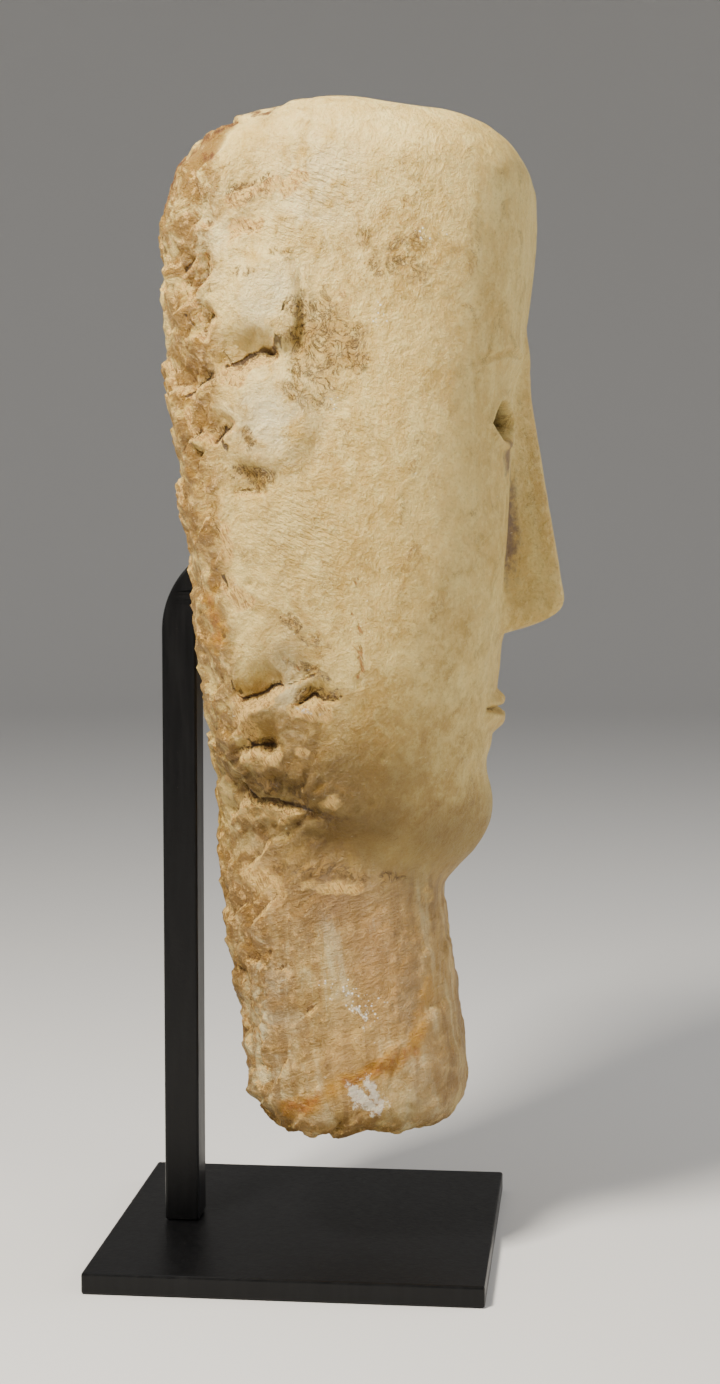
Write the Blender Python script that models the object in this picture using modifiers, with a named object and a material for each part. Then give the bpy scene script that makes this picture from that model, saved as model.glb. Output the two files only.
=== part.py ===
"""Carved alabaster head on a bent steel bar and a square base plate. Metres, +Z up, the face looks to -Y.

The origin is at the centre of the plate's underside. The head's own places are given as across (x, to its
left), forward (towards the face) and up (share of the head's height from its broken lower end).
"""

import itertools
import math

import bmesh
import bpy
import numpy as np

# Stand
PLATE_SIZE = 0.110
PLATE_THICKNESS = 0.006
BAR_WIDTH = 0.012
BAR_DEPTH = 0.010
BEND_RADIUS = 0.021
BEND_ANGLE = math.radians(52)
BEND_IN_HEAD = 0.002
BAR_IN_HEAD = 0.016
EDGE_ROUND = 0.0007
BEND_STEPS = 24

# Fits
SEAT_GAP = 0.0003
SOCKET_GAP = 0.0004

# Finishes
STONE_COLOUR = (0.62, 0.53, 0.36)
STONE_ROUGHNESS = 0.45
STEEL_COLOUR = (0.012, 0.012, 0.014)
STEEL_ROUGHNESS = 0.4

# Head
HEAD_HEIGHT = 0.286
HEAD_BOTTOM = 0.0375
HEAD_AXIS_Y = -0.0083
SOCKET_UP = 0.547
RINGS = 190
COLUMNS = 250
FACE_FRONT = 0.036
FACE_TRIANGLES = 2600
OTHER_TRIANGLES = 6200

# Outlines of the head and the neck: share up, and distance from the axis as a share of the height
HEAD_BACK = ((0.20, 0.112), (0.30, 0.115), (0.39, 0.118), (0.47, 0.125), (0.565, 0.134), (0.69, 0.148),
             (0.80, 0.158), (0.90, 0.160), (1.0, 0.159))
HEAD_FRONT = ((0.20, 0.112), (0.26, 0.127), (0.30, 0.143), (0.42, 0.162), (0.55, 0.172), (0.68, 0.178),
              (0.76, 0.187), (0.90, 0.198), (1.0, 0.198))
HEAD_SIDE = ((0.20, 0.100), (0.27, 0.118), (0.33, 0.145), (0.42, 0.172), (0.55, 0.193), (0.70, 0.204),
             (0.85, 0.205), (1.0, 0.196))
NECK_BACK = ((0.0, 0.074), (0.05, 0.085), (0.10, 0.096), (0.17, 0.105), (0.24, 0.111), (0.34, 0.115))
NECK_FRONT = ((0.0, 0.132), (0.05, 0.135), (0.09, 0.132), (0.13, 0.126), (0.18, 0.118), (0.235, 0.110),
              (0.34, 0.107))
NECK_SIDE = ((0.0, 0.124), (0.10, 0.124), (0.20, 0.118), (0.34, 0.118))
FRONT_SQUARENESS = ((0.20, 2.1), (0.40, 2.3), (0.60, 2.7), (1.0, 3.0))
BACK_SQUARENESS = 3.6
NECK_SQUARENESS = 2.5
JAW_LINE = ((0.0, 0.252), (1.2, 0.285), (1.9, 0.33), (math.pi, 0.34))
JAW_BLEND = ((0.0, 0.022), (1.2, 0.028), (1.9, 0.06), (math.pi, 0.09))
# Fall of the crown, from the back to the front: place forward of the axis and drop, as shares of the height
CROWN_DROP = ((-0.155, 0.078), (-0.130, 0.046), (-0.105, 0.028), (-0.075, 0.017), (-0.045, 0.008),
              (-0.010, 0.002), (0.030, 0.0), (0.075, 0.005), (0.140, 0.013), (0.170, 0.021), (0.200, 0.030))
CROWN_SIDE_DROP = 0.30
# Rounding of the crown's and the broken end's edges: its height share, and its share of the radius
CROWN_ROUND = 0.055
CROWN_ROUND_REACH = 0.28
BOTTOM_ROUND = 0.045
BOTTOM_ROUND_REACH = 0.30
MEAN_RADIUS = 0.16
ROUND_STEPS = 60
OUTLINE_STEPS = 2001

# Where shapes blend: relief towards the crown's and the broken end's middle, as shares of the radius, the
# crown's fall as shares up, and the face and the ears as the cosine and the sine of the angle from ahead
UPRIGHT = (0.60, 0.95)
CROWN_FALL = (0.80, 1.0)
BACK_TO_FRONT = (-0.25, 0.25)
FACE_FADE = (0.0, 0.5)
EAR_FADE = (0.5, 0.9)

# Face, on the canon of thirds from chin to crown and of five eyes across, with each place up as a share
CHIN = 0.25
NOSE_BASE = 0.50
BROW = 0.75
EYE_LINE = 0.695
MOUTH = NOSE_BASE - (NOSE_BASE - CHIN) / 3
EYE_LENGTH = 0.0236
EYE_ABOVE = 0.0064
EYE_BELOW = 0.0047
EYE_CURVE = 2.2
EYE_OUTSIDE = 1.6
EYE_EDGE = 0.0016
EYE_SOCKET_DEPTH = 0.0065
LID_HEIGHT = 0.0012
LID_WIDTH = 0.0012
LID_END = 0.0040
BROW_MIDDLE = 0.0248
BROW_HALF = 0.0189
BROW_ARCH = 0.0035
BROW_HEIGHT = 0.0011
BROW_WIDTH = 0.0032
BROW_LINE_DEPTH = 0.0016
BROW_LINE_WIDTH = 0.0009
BROW_FADE = (1.1, 0.7)
# Nose: half widths of its ridge and its foot, at the root and at the base
NOSE_PROJECTION = 0.0185
NOSE_ROOT_SHARE = 0.14
NOSE_RIDGE = (0.0031, 0.0052)
NOSE_FOOT = (0.0078, 0.0123)
NOSE_FLARE = 1.5
NOSE_ROUND = 0.35
NOSE_UNDERSIDE = 0.0024
NOSE_TIP = 0.0120
NOSE_TIP_CURVE = 2.6
NOSE_ROOT_FADE = 0.0143
# Lips: how high each stands at the middle, where it starts and where it ends
MOUTH_HALF = 0.0170
MOUTH_RISE = 0.0012
UPPER_LIP = (0.0027, 0.0030, 0.0064)
LOWER_LIP = (0.0032, 0.0036, 0.0078)
LIP_TAPER = 0.0032
LIP_EDGE = 0.0017
LIP_SEAM_DEPTH = 0.0010
LIP_SEAM_WIDTH = 0.0009
LIP_SEAM_FADE = (0.0, 0.3)
# Soft humps and hollows, each with its place across and up, its width, its height and how far it stands out
FACE_HUMPS = (
    (0.0104, 0.513, 0.0038, 0.0052, 0.0030),
    (0.0295, 0.590, 0.0170, 0.0300, 0.0018),
    (0.0000, 0.300, 0.0170, 0.0130, 0.0040),
    (0.0000, 0.358, 0.0130, 0.0050, -0.0016),
    (0.0000, 0.460, 0.0022, 0.0055, -0.0005),
    (0.0236, 0.721, 0.0200, 0.0085, -0.0022),
)
# Flat lobes of the ear: place forward and up, half width, half height and how far each stands out
EAR_LOBES = (
    (-0.0104, 0.802, 0.0100, 0.0122, 0.0026),
    (-0.0108, 0.695, 0.0122, 0.0128, 0.0024),
)
EAR_EDGE = (1.28, 0.72)
EAR_CREASE = (-0.0015, 0.795)
EAR_CREASE_BEND = 0.0070
EAR_CREASE_WIDTH = 0.0011
EAR_CREASE_HEIGHT = 0.0120
EAR_CREASE_DEPTH = 0.0015

# Rough dressing of the back, with the size of one tool mark
MARK_SPACING = np.array((0.0105, 0.0105, 0.0135))
MARK_DEPTH = 0.0034
MARK_SLANT = 0.7
MARK_TILT = 0.5
MARK_STEPS = 0.55
MARK_SCATTER = 0.7
MARK_EDGE = 0.16
MARK_LEVEL = 0.35
MARK_SEED = 11
LUMP_SIZE = 0.016
LUMP_HEIGHT = 0.0012
LUMP_SEED = 3
WAVE_SIZE = 0.035
WAVE_HEIGHT = 0.0005
WAVE_SEED = 5
# Where the rough dressing starts, as the angle from straight ahead, on the right and on the left
ROUGH_START = (1.90, 1.72)
ROUGH_FADE = 0.16
# Other rough places: how rough each is, and where it fades in by the angle, the share up or forward
SIDE_ROUGH = 0.16
SIDE_TURN = (1.35, 1.75)
LOW_SIDE_ROUGH = 0.60
LOW_SIDE_TURN = (1.30, 1.65)
LOW_SIDE_UP = (0.50, 0.40)
NECK_ROUGH = 0.34
NECK_UP = (0.27, 0.20)
CROWN_ROUGH = 0.35
CROWN_UP = (0.97, 0.995)
CROWN_BACK = (0.02, -0.05)
END_UP = (0.045, 0.0)
ROUGH_REACH = (0.3, 0.8)
# Ledges on the head's right side, each from its lower back end to its front end: forward of the axis and
# share up of both ends, and depth of the cut above it
LEDGES = (
    (-0.0365, 0.833, -0.0328, 0.847, 0.0020),
    (-0.0347, 0.808, -0.0266, 0.835, 0.0028),
    (-0.0310, 0.770, -0.0248, 0.792, 0.0026),
    (-0.0347, 0.721, -0.0266, 0.738, 0.0030),
    (-0.0266, 0.678, -0.0212, 0.693, 0.0028),
    (-0.0318, 0.650, -0.0282, 0.663, 0.0022),
    (-0.0227, 0.741, -0.0092, 0.761, 0.0036),
    (-0.0204, 0.901, -0.0105, 0.916, 0.0012),
    (-0.0222, 0.860, -0.0142, 0.872, 0.0012),
    (-0.0206, 0.630, -0.0134, 0.633, 0.0018),
    (-0.0204, 0.432, -0.0084, 0.451, 0.0032),
    (-0.0084, 0.451, 0.0006, 0.463, 0.0014),
    (-0.0035, 0.430, 0.0061, 0.439, 0.0020),
    (-0.0204, 0.387, -0.0100, 0.389, 0.0030),
    (-0.0248, 0.340, -0.0051, 0.328, 0.0018),
    (-0.0240, 0.172, -0.0080, 0.174, 0.0012),
    (-0.0166, 0.057, -0.0232, 0.165, 0.0016),
)
LEDGE_CUT = 0.0105
LEDGE_SLOPE = 0.85
LEDGE_END = 0.0022
RIGHT_SIDE = 0.020


def share_between(low, high, value):
    """Smooth share from 0 at low to 1 at high."""
    share = np.clip((value - low) / (high - low), 0.0, 1.0)
    return share * share * (3.0 - 2.0 * share)


def swell(distance, reach):
    """Soft hump that is 1 at no distance and fades beyond reach."""
    return np.exp(-((distance / reach) ** 2))


def line_through(points, place):
    """Smooth line through the points, read at each place."""
    places, sizes = np.array(points).T
    slopes = np.gradient(sizes, places)
    place = np.clip(place, places[0], places[-1])
    index = np.clip(np.searchsorted(places, place) - 1, 0, len(places) - 2)
    step = places[index + 1] - places[index]
    t = (place - places[index]) / step
    start = sizes[index] * (1 + 2 * t) * (1 - t) ** 2 + slopes[index] * step * t * (1 - t) ** 2
    end = sizes[index + 1] * t * t * (3 - 2 * t) - slopes[index + 1] * step * t * t * (1 - t)
    return start + end


def chance(cells, seed):
    """Repeatable number from 0 to 1 for each whole-numbered cell."""
    mixed = cells[..., 0] * 73856093 ^ cells[..., 1] * 19349663 ^ cells[..., 2] * 83492791
    mixed = mixed ^ seed * 2654435761
    mixed = (mixed ^ (mixed >> 13)) * 1274126177 & 0xFFFFFFFF
    mixed = (mixed ^ (mixed >> 16)) * 2246822519 & 0xFFFFFFFF
    return ((mixed ^ (mixed >> 15)) & 0xFFFFFF) / float(0xFFFFFF)


def soft_noise(points, size, seed):
    """Smooth noise from -1 to 1 with features of the given size."""
    scaled = points / size
    corner = np.floor(scaled).astype(np.int64)
    part = scaled - corner
    part = part * part * (3 - 2 * part)
    total = np.zeros(points.shape[:-1])
    for offset in itertools.product((0, 1), repeat=3):
        step = np.array(offset)
        weight = np.prod(np.where(step == 1, part, 1 - part), axis=-1)
        total += weight * chance(corner + step, seed)
    return 2 * total - 1


def tool_marks(points, spacing, seed):
    """Flat, tilted marks of a point chisel, from about -1 to 0, each deeper downwards, ending at a ledge."""
    slanted = points.copy()
    slanted[..., 2] += MARK_SLANT * points[..., 1]
    scaled = slanted / spacing
    corner = np.floor(scaled).astype(np.int64)
    nearest = np.full(points.shape[:-1], np.inf)
    second = nearest.copy()
    depth = np.zeros(points.shape[:-1])
    second_depth = depth.copy()
    for offset in itertools.product((-1, 0, 1), repeat=3):
        cell = corner + np.array(offset)
        spot = np.stack([chance(cell, seed + axis) for axis in range(3)], axis=-1)
        gap = scaled - cell - (1 - MARK_SCATTER) / 2 - MARK_SCATTER * spot
        distance = np.sum(gap * gap, axis=-1)
        level = MARK_TILT * (gap[..., 2] - 0.5) + (chance(cell, seed + 4) - 0.5) * gap[..., 0]
        level -= MARK_STEPS * chance(cell, seed + 5)
        closer = distance < nearest
        between = ~closer & (distance < second)
        second = np.where(closer, nearest, np.where(between, distance, second))
        second_depth = np.where(closer, depth, np.where(between, level, second_depth))
        depth = np.where(closer, level, depth)
        nearest = np.where(closer, distance, nearest)
    edge = 0.5 * (1 - share_between(0.0, MARK_EDGE, np.sqrt(second) - np.sqrt(nearest)))
    return depth * (1 - edge) + second_depth * edge


def plan_radius(angle, back, front, side, squareness):
    """Distance from the axis of a rounded outline in plan, where angle 0 is straight ahead."""
    depth = np.where(np.abs(angle) < math.pi / 2, front, back)
    power = squareness
    sum_of_powers = (np.abs(np.cos(angle)) / depth) ** power + (np.abs(np.sin(angle)) / side) ** power
    return sum_of_powers ** (-1 / power)


def body_radius(angle, up):
    """Distance of the head's or the neck's plain surface from the axis, as a share of the height."""
    ahead = share_between(*BACK_TO_FRONT, np.cos(angle))
    squareness = BACK_SQUARENESS + ahead * (line_through(FRONT_SQUARENESS, up) - BACK_SQUARENESS)
    head = plan_radius(angle, line_through(HEAD_BACK, up), line_through(HEAD_FRONT, up),
                       line_through(HEAD_SIDE, up), squareness)
    neck = plan_radius(angle, line_through(NECK_BACK, up), line_through(NECK_FRONT, up),
                       line_through(NECK_SIDE, up), NECK_SQUARENESS)
    jaw = line_through(JAW_LINE, np.abs(angle))
    blend = line_through(JAW_BLEND, np.abs(angle))
    return neck + share_between(jaw - blend, jaw + blend, up) * (head - neck)


def meridian(count):
    """Reach from the axis (0 to 1) and share up of each ring, evenly spaced from bottom to crown."""
    quarter = np.linspace(0.0, math.pi / 2, ROUND_STEPS)
    reach = np.concatenate([[0.0], 1 - BOTTOM_ROUND_REACH * (1 - np.sin(quarter)),
                            1 - CROWN_ROUND_REACH * (1 - np.cos(quarter)), [0.0]])
    up = np.concatenate([[0.0], BOTTOM_ROUND * (1 - np.cos(quarter)),
                         1 - CROWN_ROUND * (1 - np.sin(quarter)), [1.0]])
    length = np.concatenate([[0.0], np.cumsum(np.hypot(np.diff(reach) * MEAN_RADIUS, np.diff(up)))])
    places = np.linspace(0.0, length[-1], count)
    return np.interp(places, length, reach), np.interp(places, length, up)


def column_angles(count):
    """Angles of the columns, evenly spaced along the outline at the brow, from -pi to pi."""
    angle = np.linspace(-math.pi, math.pi, OUTLINE_STEPS)
    radius = body_radius(angle, np.full_like(angle, BROW))
    outline = np.stack([radius * np.sin(angle), radius * np.cos(angle)])
    length = np.concatenate([[0.0], np.cumsum(np.hypot(*np.diff(outline)))])
    return np.interp(np.linspace(0.0, length[-1], count, endpoint=False), length, angle)


def humps(places, ahead, height):
    """Sum of the soft humps and hollows at these places."""
    total = np.zeros(np.shape(ahead))
    for place, up, width, reach, rise in places:
        total += rise * swell(ahead - place, width) * swell(height - up * HEAD_HEIGHT, reach)
    return total


def eye_relief(across, height):
    """Almond socket, emptied of its inlay, with its lids and the line of the brow."""
    from_middle = np.abs(across - EYE_LENGTH)
    above = height - EYE_LINE * HEAD_HEIGHT
    taper = 1 - np.minimum(2 * from_middle / EYE_LENGTH, EYE_OUTSIDE) ** EYE_CURVE
    inside = np.minimum(EYE_ABOVE * taper - above, above + EYE_BELOW * taper)
    socket = -EYE_SOCKET_DEPTH * share_between(0.0, EYE_EDGE, inside)
    lid_ends = share_between(EYE_LENGTH / 2 + LID_END, EYE_LENGTH / 2, from_middle)
    lids = LID_HEIGHT * swell(inside + LID_WIDTH, LID_WIDTH) * lid_ends
    from_arch = (across - BROW_MIDDLE) / BROW_HALF
    above_brow = height - BROW * HEAD_HEIGHT - BROW_ARCH * (1 - from_arch ** 2)
    brow_ends = share_between(*BROW_FADE, np.abs(from_arch))
    brow = BROW_HEIGHT * swell(above_brow, BROW_WIDTH) - BROW_LINE_DEPTH * swell(above_brow, BROW_LINE_WIDTH)
    return socket + lids + brow * brow_ends


def nose_relief(across, height):
    """Long straight nose with flat sides and a rounded tip."""
    base = NOSE_BASE * HEAD_HEIGHT
    root = BROW * HEAD_HEIGHT
    down = np.clip((root - height) / (root - base), 0.0, 1.0)
    projection = NOSE_PROJECTION * (NOSE_ROOT_SHARE + (1 - NOSE_ROOT_SHARE) * down)
    ridge = NOSE_RIDGE[0] + (NOSE_RIDGE[1] - NOSE_RIDGE[0]) * down
    foot = NOSE_FOOT[0] + (NOSE_FOOT[1] - NOSE_FOOT[0]) * down ** NOSE_FLARE
    flank = np.clip((foot - across) / (foot - ridge), 0.0, 1.0)
    flank += NOSE_ROUND * (share_between(0.0, 1.0, flank) - flank)
    above_base = np.clip((height - base + NOSE_UNDERSIDE) / NOSE_TIP, 0.0, 1.0)
    tip = 1 - (1 - above_base) ** NOSE_TIP_CURVE
    return projection * flank * tip * share_between(root + NOSE_ROOT_FADE, root, height)


def lip(above, side, shape):
    """One lip, from the seam outwards."""
    stand, full, end = shape
    return stand * share_between(0.0, LIP_EDGE, above) * share_between(end, full, above + LIP_TAPER * side)


def mouth_relief(across, height):
    """Small closed mouth."""
    side = np.clip(across / MOUTH_HALF, 0.0, 1.0)
    fullness = np.sqrt(1 - side ** 2)
    above = height - MOUTH * HEAD_HEIGHT - MOUTH_RISE * side ** 2
    lips = lip(above, side, UPPER_LIP) + lip(-above, side, LOWER_LIP)
    seam = -LIP_SEAM_DEPTH * swell(above, LIP_SEAM_WIDTH) * share_between(*LIP_SEAM_FADE, fullness)
    return lips * fullness + seam


def face_relief(x, height):
    """How far the face stands forward of the head's plain front."""
    across = np.abs(x)
    features = eye_relief(across, height) + nose_relief(across, height) + mouth_relief(across, height)
    return features + humps(FACE_HUMPS, across, height)


def ear_relief(forward, height):
    """Worn ear: two low flat lobes off the side of the head, the upper one with a crease along its front."""
    lobes = np.zeros(np.shape(forward))
    for place, up, half_width, half_height, rise in EAR_LOBES:
        from_middle = np.hypot((forward - place) / half_width, (height - up * HEAD_HEIGHT) / half_height)
        lobes = np.maximum(lobes, rise * share_between(*EAR_EDGE, from_middle))
    above = height - EAR_CREASE[1] * HEAD_HEIGHT
    bend = EAR_CREASE_BEND * (above / (2 * EAR_CREASE_HEIGHT)) ** 2
    crease = swell(forward - EAR_CREASE[0] + bend, EAR_CREASE_WIDTH) * swell(above, EAR_CREASE_HEIGHT)
    return lobes - EAR_CREASE_DEPTH * crease


def ledges_at(forward, height):
    """For each ledge: how far each point is above it, its share along the ledge, and the cut above it."""
    for start_forward, start_up, end_forward, end_up, cut in LEDGES:
        run = end_forward - start_forward
        rise = (end_up - start_up) * HEAD_HEIGHT
        length = math.hypot(run, rise)
        ahead = forward - start_forward
        above = height - start_up * HEAD_HEIGHT
        along = (ahead * run + above * rise) / length
        across = (above * run - ahead * rise) / length
        from_middle = np.abs(along - length / 2)
        yield across, share_between(length / 2 + LEDGE_END, length / 2 - LEDGE_END, from_middle), cut


def ledge_relief(forward, height):
    """Cuts that go deeper downwards and end at a slanted ledge of rough stone."""
    depth = np.zeros(np.shape(forward))
    for across, along, cut in ledges_at(forward, height):
        slope = share_between(-LEDGE_SLOPE * cut, 0.0, across) * share_between(LEDGE_CUT, 0.0, across)
        depth = np.minimum(depth, -cut * slope * along)
    return depth


def roughness_share(angle, forward, up, reach):
    """Where the stone was left rough: back, back of the sides, neck, crown's back edge and broken end."""
    turned = np.abs(angle)
    start = np.where(angle < 0, *ROUGH_START)
    back = share_between(start, start + ROUGH_FADE, turned)
    side = SIDE_ROUGH * share_between(*SIDE_TURN, turned)
    low_side = LOW_SIDE_ROUGH * share_between(*LOW_SIDE_TURN, turned) * share_between(*LOW_SIDE_UP, up)
    neck = NECK_ROUGH * share_between(*NECK_UP, up)
    crown = CROWN_ROUGH * share_between(*CROWN_UP, up) * share_between(*CROWN_BACK, forward / HEAD_HEIGHT)
    broken_end = share_between(*END_UP, up)
    around = share_between(*ROUGH_REACH, reach) * np.maximum.reduce([back, side, low_side, neck])
    return np.maximum.reduce([around, crown, broken_end])


def head_surface(rings, columns):
    """Points of the carved surface in world coordinates, one row for each ring."""
    reach, up = meridian(rings)
    angle = np.broadcast_to(column_angles(columns), (rings, columns))
    reach, up = (np.broadcast_to(values[:, None], (rings, columns)) for values in (reach, up))
    radius = body_radius(angle, up) * HEAD_HEIGHT * reach
    x = radius * np.sin(angle)
    forward = radius * np.cos(angle)
    drop = line_through(CROWN_DROP, forward / HEAD_HEIGHT) + CROWN_SIDE_DROP * (x / HEAD_HEIGHT) ** 2
    drop = drop * share_between(*CROWN_FALL, up)
    height = (up - drop) * HEAD_HEIGHT
    plain = np.stack([x, -forward, height], axis=-1)

    along = np.roll(plain, -1, axis=1) - np.roll(plain, 1, axis=1)
    normal = np.cross(along, np.gradient(plain, axis=0))
    normal[0] = (0.0, 0.0, -1.0)
    normal[-1] = (0.0, 0.0, 1.0)
    normal /= np.linalg.norm(normal, axis=-1, keepdims=True)

    rough = roughness_share(angle, forward, up, reach)
    depth = MARK_DEPTH * rough * (MARK_LEVEL + tool_marks(plain, MARK_SPACING, MARK_SEED))
    depth += LUMP_HEIGHT * rough * soft_noise(plain, LUMP_SIZE, LUMP_SEED)
    depth += WAVE_HEIGHT * soft_noise(plain, WAVE_SIZE, WAVE_SEED)
    upright = share_between(*UPRIGHT, reach)
    depth += share_between(0.0, -RIGHT_SIDE, x) * upright * ledge_relief(forward, height)
    carved = plain + normal * depth[..., None]
    carved[..., 1] -= share_between(*FACE_FADE, np.cos(angle)) * upright * face_relief(x, height)
    sideways = np.sign(x) * share_between(*EAR_FADE, np.abs(np.sin(angle)))
    carved[..., 0] += sideways * upright * ear_relief(forward, height)
    return carved + np.array((0.0, HEAD_AXIS_Y, HEAD_BOTTOM))


def material(name, colour, roughness, metallic=0.0):
    """Plain finish of one sub-part."""
    made = bpy.data.materials.new(name)
    made.use_nodes = True
    shader = made.node_tree.nodes["Principled BSDF"]
    shader.inputs["Base Color"].default_value = (*colour, 1.0)
    shader.inputs["Roughness"].default_value = roughness
    shader.inputs["Metallic"].default_value = metallic
    return made


def add_object(name, data, collection, finish):
    """Object of the mesh or curve in the collection, with its finish."""
    added = bpy.data.objects.new(name, data)
    collection.objects.link(added)
    data.materials.append(finish)
    return added


def make_head(collection, finish):
    """Sphere of rings and columns drawn over the carved surface, then thinned to the facets it needs."""
    shape = bmesh.new()
    bmesh.ops.create_uvsphere(shape, u_segments=COLUMNS, v_segments=RINGS - 1, radius=1.0)
    mesh = bpy.data.meshes.new("head")
    shape.to_mesh(mesh)
    shape.free()
    points = np.empty(len(mesh.vertices) * 3)
    mesh.vertices.foreach_get("co", points)
    points = points.reshape(-1, 3)
    polar = np.arccos(np.clip(-points[:, 2], -1.0, 1.0)) / math.pi
    turn = np.arctan2(points[:, 1], points[:, 0]) / (2 * math.pi)
    ring = np.round(polar * (RINGS - 1)).astype(int)
    column = np.round(turn * COLUMNS).astype(int) % COLUMNS
    surface = head_surface(RINGS, COLUMNS)
    mesh.vertices.foreach_set("co", surface[ring, column].ravel())
    mesh.update()
    mesh.shade_smooth()
    head = add_object("head", mesh, collection, finish)
    in_face = surface[ring, column][:, 1] < HEAD_AXIS_Y - FACE_FRONT
    corners = np.array([polygon.vertices[:3] for polygon in mesh.polygons])
    face_triangles = 2 * int(in_face[corners].all(axis=1).sum())
    all_triangles = 2 * COLUMNS * (RINGS - 2)
    kept = face_triangles + OTHER_TRIANGLES
    thin_out(head, "elsewhere", np.flatnonzero(~in_face), kept / all_triangles)
    thin_out(head, "face", np.flatnonzero(in_face), (FACE_TRIANGLES + OTHER_TRIANGLES) / kept)
    return head


def thin_out(head, region, numbers, ratio):
    """Merges the facets of one region until the whole mesh has this share of its triangles."""
    group = head.vertex_groups.new(name=region)
    group.add(numbers.tolist(), 1.0, "REPLACE")
    thin = head.modifiers.new(region, "DECIMATE")
    thin.ratio = ratio
    thin.vertex_group = region


def bar_places():
    """Centre of the bar's bend, its tip inside the head, and the way that its end points."""
    socket_back = body_radius(np.array(math.pi), np.array(SOCKET_UP)) * HEAD_HEIGHT
    entry = np.array((HEAD_AXIS_Y + float(socket_back), HEAD_BOTTOM + SOCKET_UP * HEAD_HEIGHT))
    direction = np.array((-math.sin(BEND_ANGLE), math.cos(BEND_ANGLE)))
    bend_end = entry + direction * BEND_IN_HEAD
    tip = entry + direction * BAR_IN_HEAD
    centre = bend_end + BEND_RADIUS * np.array((-math.cos(BEND_ANGLE), -math.sin(BEND_ANGLE)))
    return centre, tip, direction


def bar_outline(grow, foot):
    """Side outline of the bar in the y-z plane, widened by grow on every side, from its foot to its tip."""
    centre, tip, direction = bar_places()
    half = BAR_DEPTH / 2 + grow
    square = np.array((-direction[1], direction[0]))
    turns = np.linspace(0.0, BEND_ANGLE, BEND_STEPS + 1)
    spokes = np.stack([np.cos(turns), np.sin(turns)], axis=-1)
    outer = centre + (BEND_RADIUS + half) * spokes
    inner = centre + (BEND_RADIUS - half) * spokes
    end = tip + direction * grow
    tip_outer = end - square * half
    tip_inner = end + square * half
    foot_outer = (outer[0][0], foot)
    foot_inner = (inner[0][0], foot)
    return [foot_outer, *outer, tip_outer, tip_inner, *inner[::-1], foot_inner]


def bar_mesh(name, grow, foot):
    """Square bar, or the cutter of its socket, as an extruded side outline."""
    curve = bpy.data.curves.new(name, "CURVE")
    curve.dimensions = "2D"
    curve.fill_mode = "BOTH"
    curve.extrude = BAR_WIDTH / 2 + grow
    outline = bar_outline(grow, foot)
    spline = curve.splines.new("POLY")
    spline.points.add(len(outline) - 1)
    for point, (y, z) in zip(spline.points, outline):
        point.co = (y, z, 0.0, 1.0)
    spline.use_cyclic_u = True
    drawn = bpy.data.objects.new(name, curve)
    bpy.context.scene.collection.objects.link(drawn)
    # The outline is drawn in x-y, and turning it puts its x along world y and its y along world z.
    drawn.rotation_euler = (math.pi / 2, 0.0, math.pi / 2)
    bpy.context.view_layer.update()
    graph = bpy.context.evaluated_depsgraph_get()
    mesh = bpy.data.meshes.new_from_object(drawn.evaluated_get(graph))
    mesh.transform(drawn.matrix_world)
    bpy.data.objects.remove(drawn)
    mesh.name = name
    shape = bmesh.new()
    shape.from_mesh(mesh)
    bmesh.ops.remove_doubles(shape, verts=shape.verts, dist=1e-6)
    shape.to_mesh(mesh)
    shape.free()
    mesh.materials.clear()
    return mesh


def round_edges(piece):
    """Small rounding of every sharp edge."""
    rounding = piece.modifiers.new("Rounding", "BEVEL")
    rounding.width = EDGE_ROUND
    rounding.segments = 2
    rounding.limit_method = "ANGLE"
    rounding.angle_limit = math.radians(40)


def make_post(collection, finish):
    """Upright square bar whose top bends forward into the head's back."""
    mesh = bar_mesh("stand_post", 0.0, PLATE_THICKNESS + SEAT_GAP)
    round_edges(add_object("stand_post", mesh, collection, finish))


def make_base(collection, finish):
    """Square plate that the bar stands on."""
    shape = bmesh.new()
    bmesh.ops.create_cube(shape, size=1.0)
    bmesh.ops.scale(shape, vec=(PLATE_SIZE, PLATE_SIZE, PLATE_THICKNESS), verts=shape.verts)
    bmesh.ops.translate(shape, vec=(0.0, 0.0, PLATE_THICKNESS / 2), verts=shape.verts)
    mesh = bpy.data.meshes.new("stand_base")
    shape.to_mesh(mesh)
    shape.free()
    round_edges(add_object("stand_base", mesh, collection, finish))


def cut_socket(head, helpers, finish):
    """Slanted square socket in the head's back, one gap larger than the bar's end."""
    mesh = bar_mesh("socket_cutter", SOCKET_GAP, HEAD_BOTTOM + HEAD_HEIGHT * SOCKET_UP / 2)
    cutter = add_object("socket_cutter", mesh, helpers, finish)
    cutter.hide_render = True
    cutter.display_type = "WIRE"
    cut = head.modifiers.new("Socket", "BOOLEAN")
    cut.operation = "DIFFERENCE"
    cut.object = cutter


def main():
    for old in list(bpy.data.objects):
        bpy.data.objects.remove(old)
    parts = bpy.data.collections.new("alabaster_head_sculpture")
    helpers = bpy.data.collections.new("cutters")
    bpy.context.scene.collection.children.link(parts)
    bpy.context.scene.collection.children.link(helpers)
    stone = material("alabaster", STONE_COLOUR, STONE_ROUGHNESS)
    steel = material("black_steel", STEEL_COLOUR, STEEL_ROUGHNESS)
    head = make_head(parts, stone)
    make_post(parts, steel)
    make_base(parts, steel)
    cut_socket(head, helpers, stone)


main()
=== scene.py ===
"""Looks of the carved alabaster head on its bent steel bar and square base plate. Metres, +Z up, face to -Y.

The head's own places are given as across (x, to its left), forward (towards the face) and up (share of the
head's height from its broken lower end). The head repeats the solid's form, with finer relief over it.
"""

import itertools
import math

import bmesh
import bpy
import numpy as np
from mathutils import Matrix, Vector, kdtree


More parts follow.
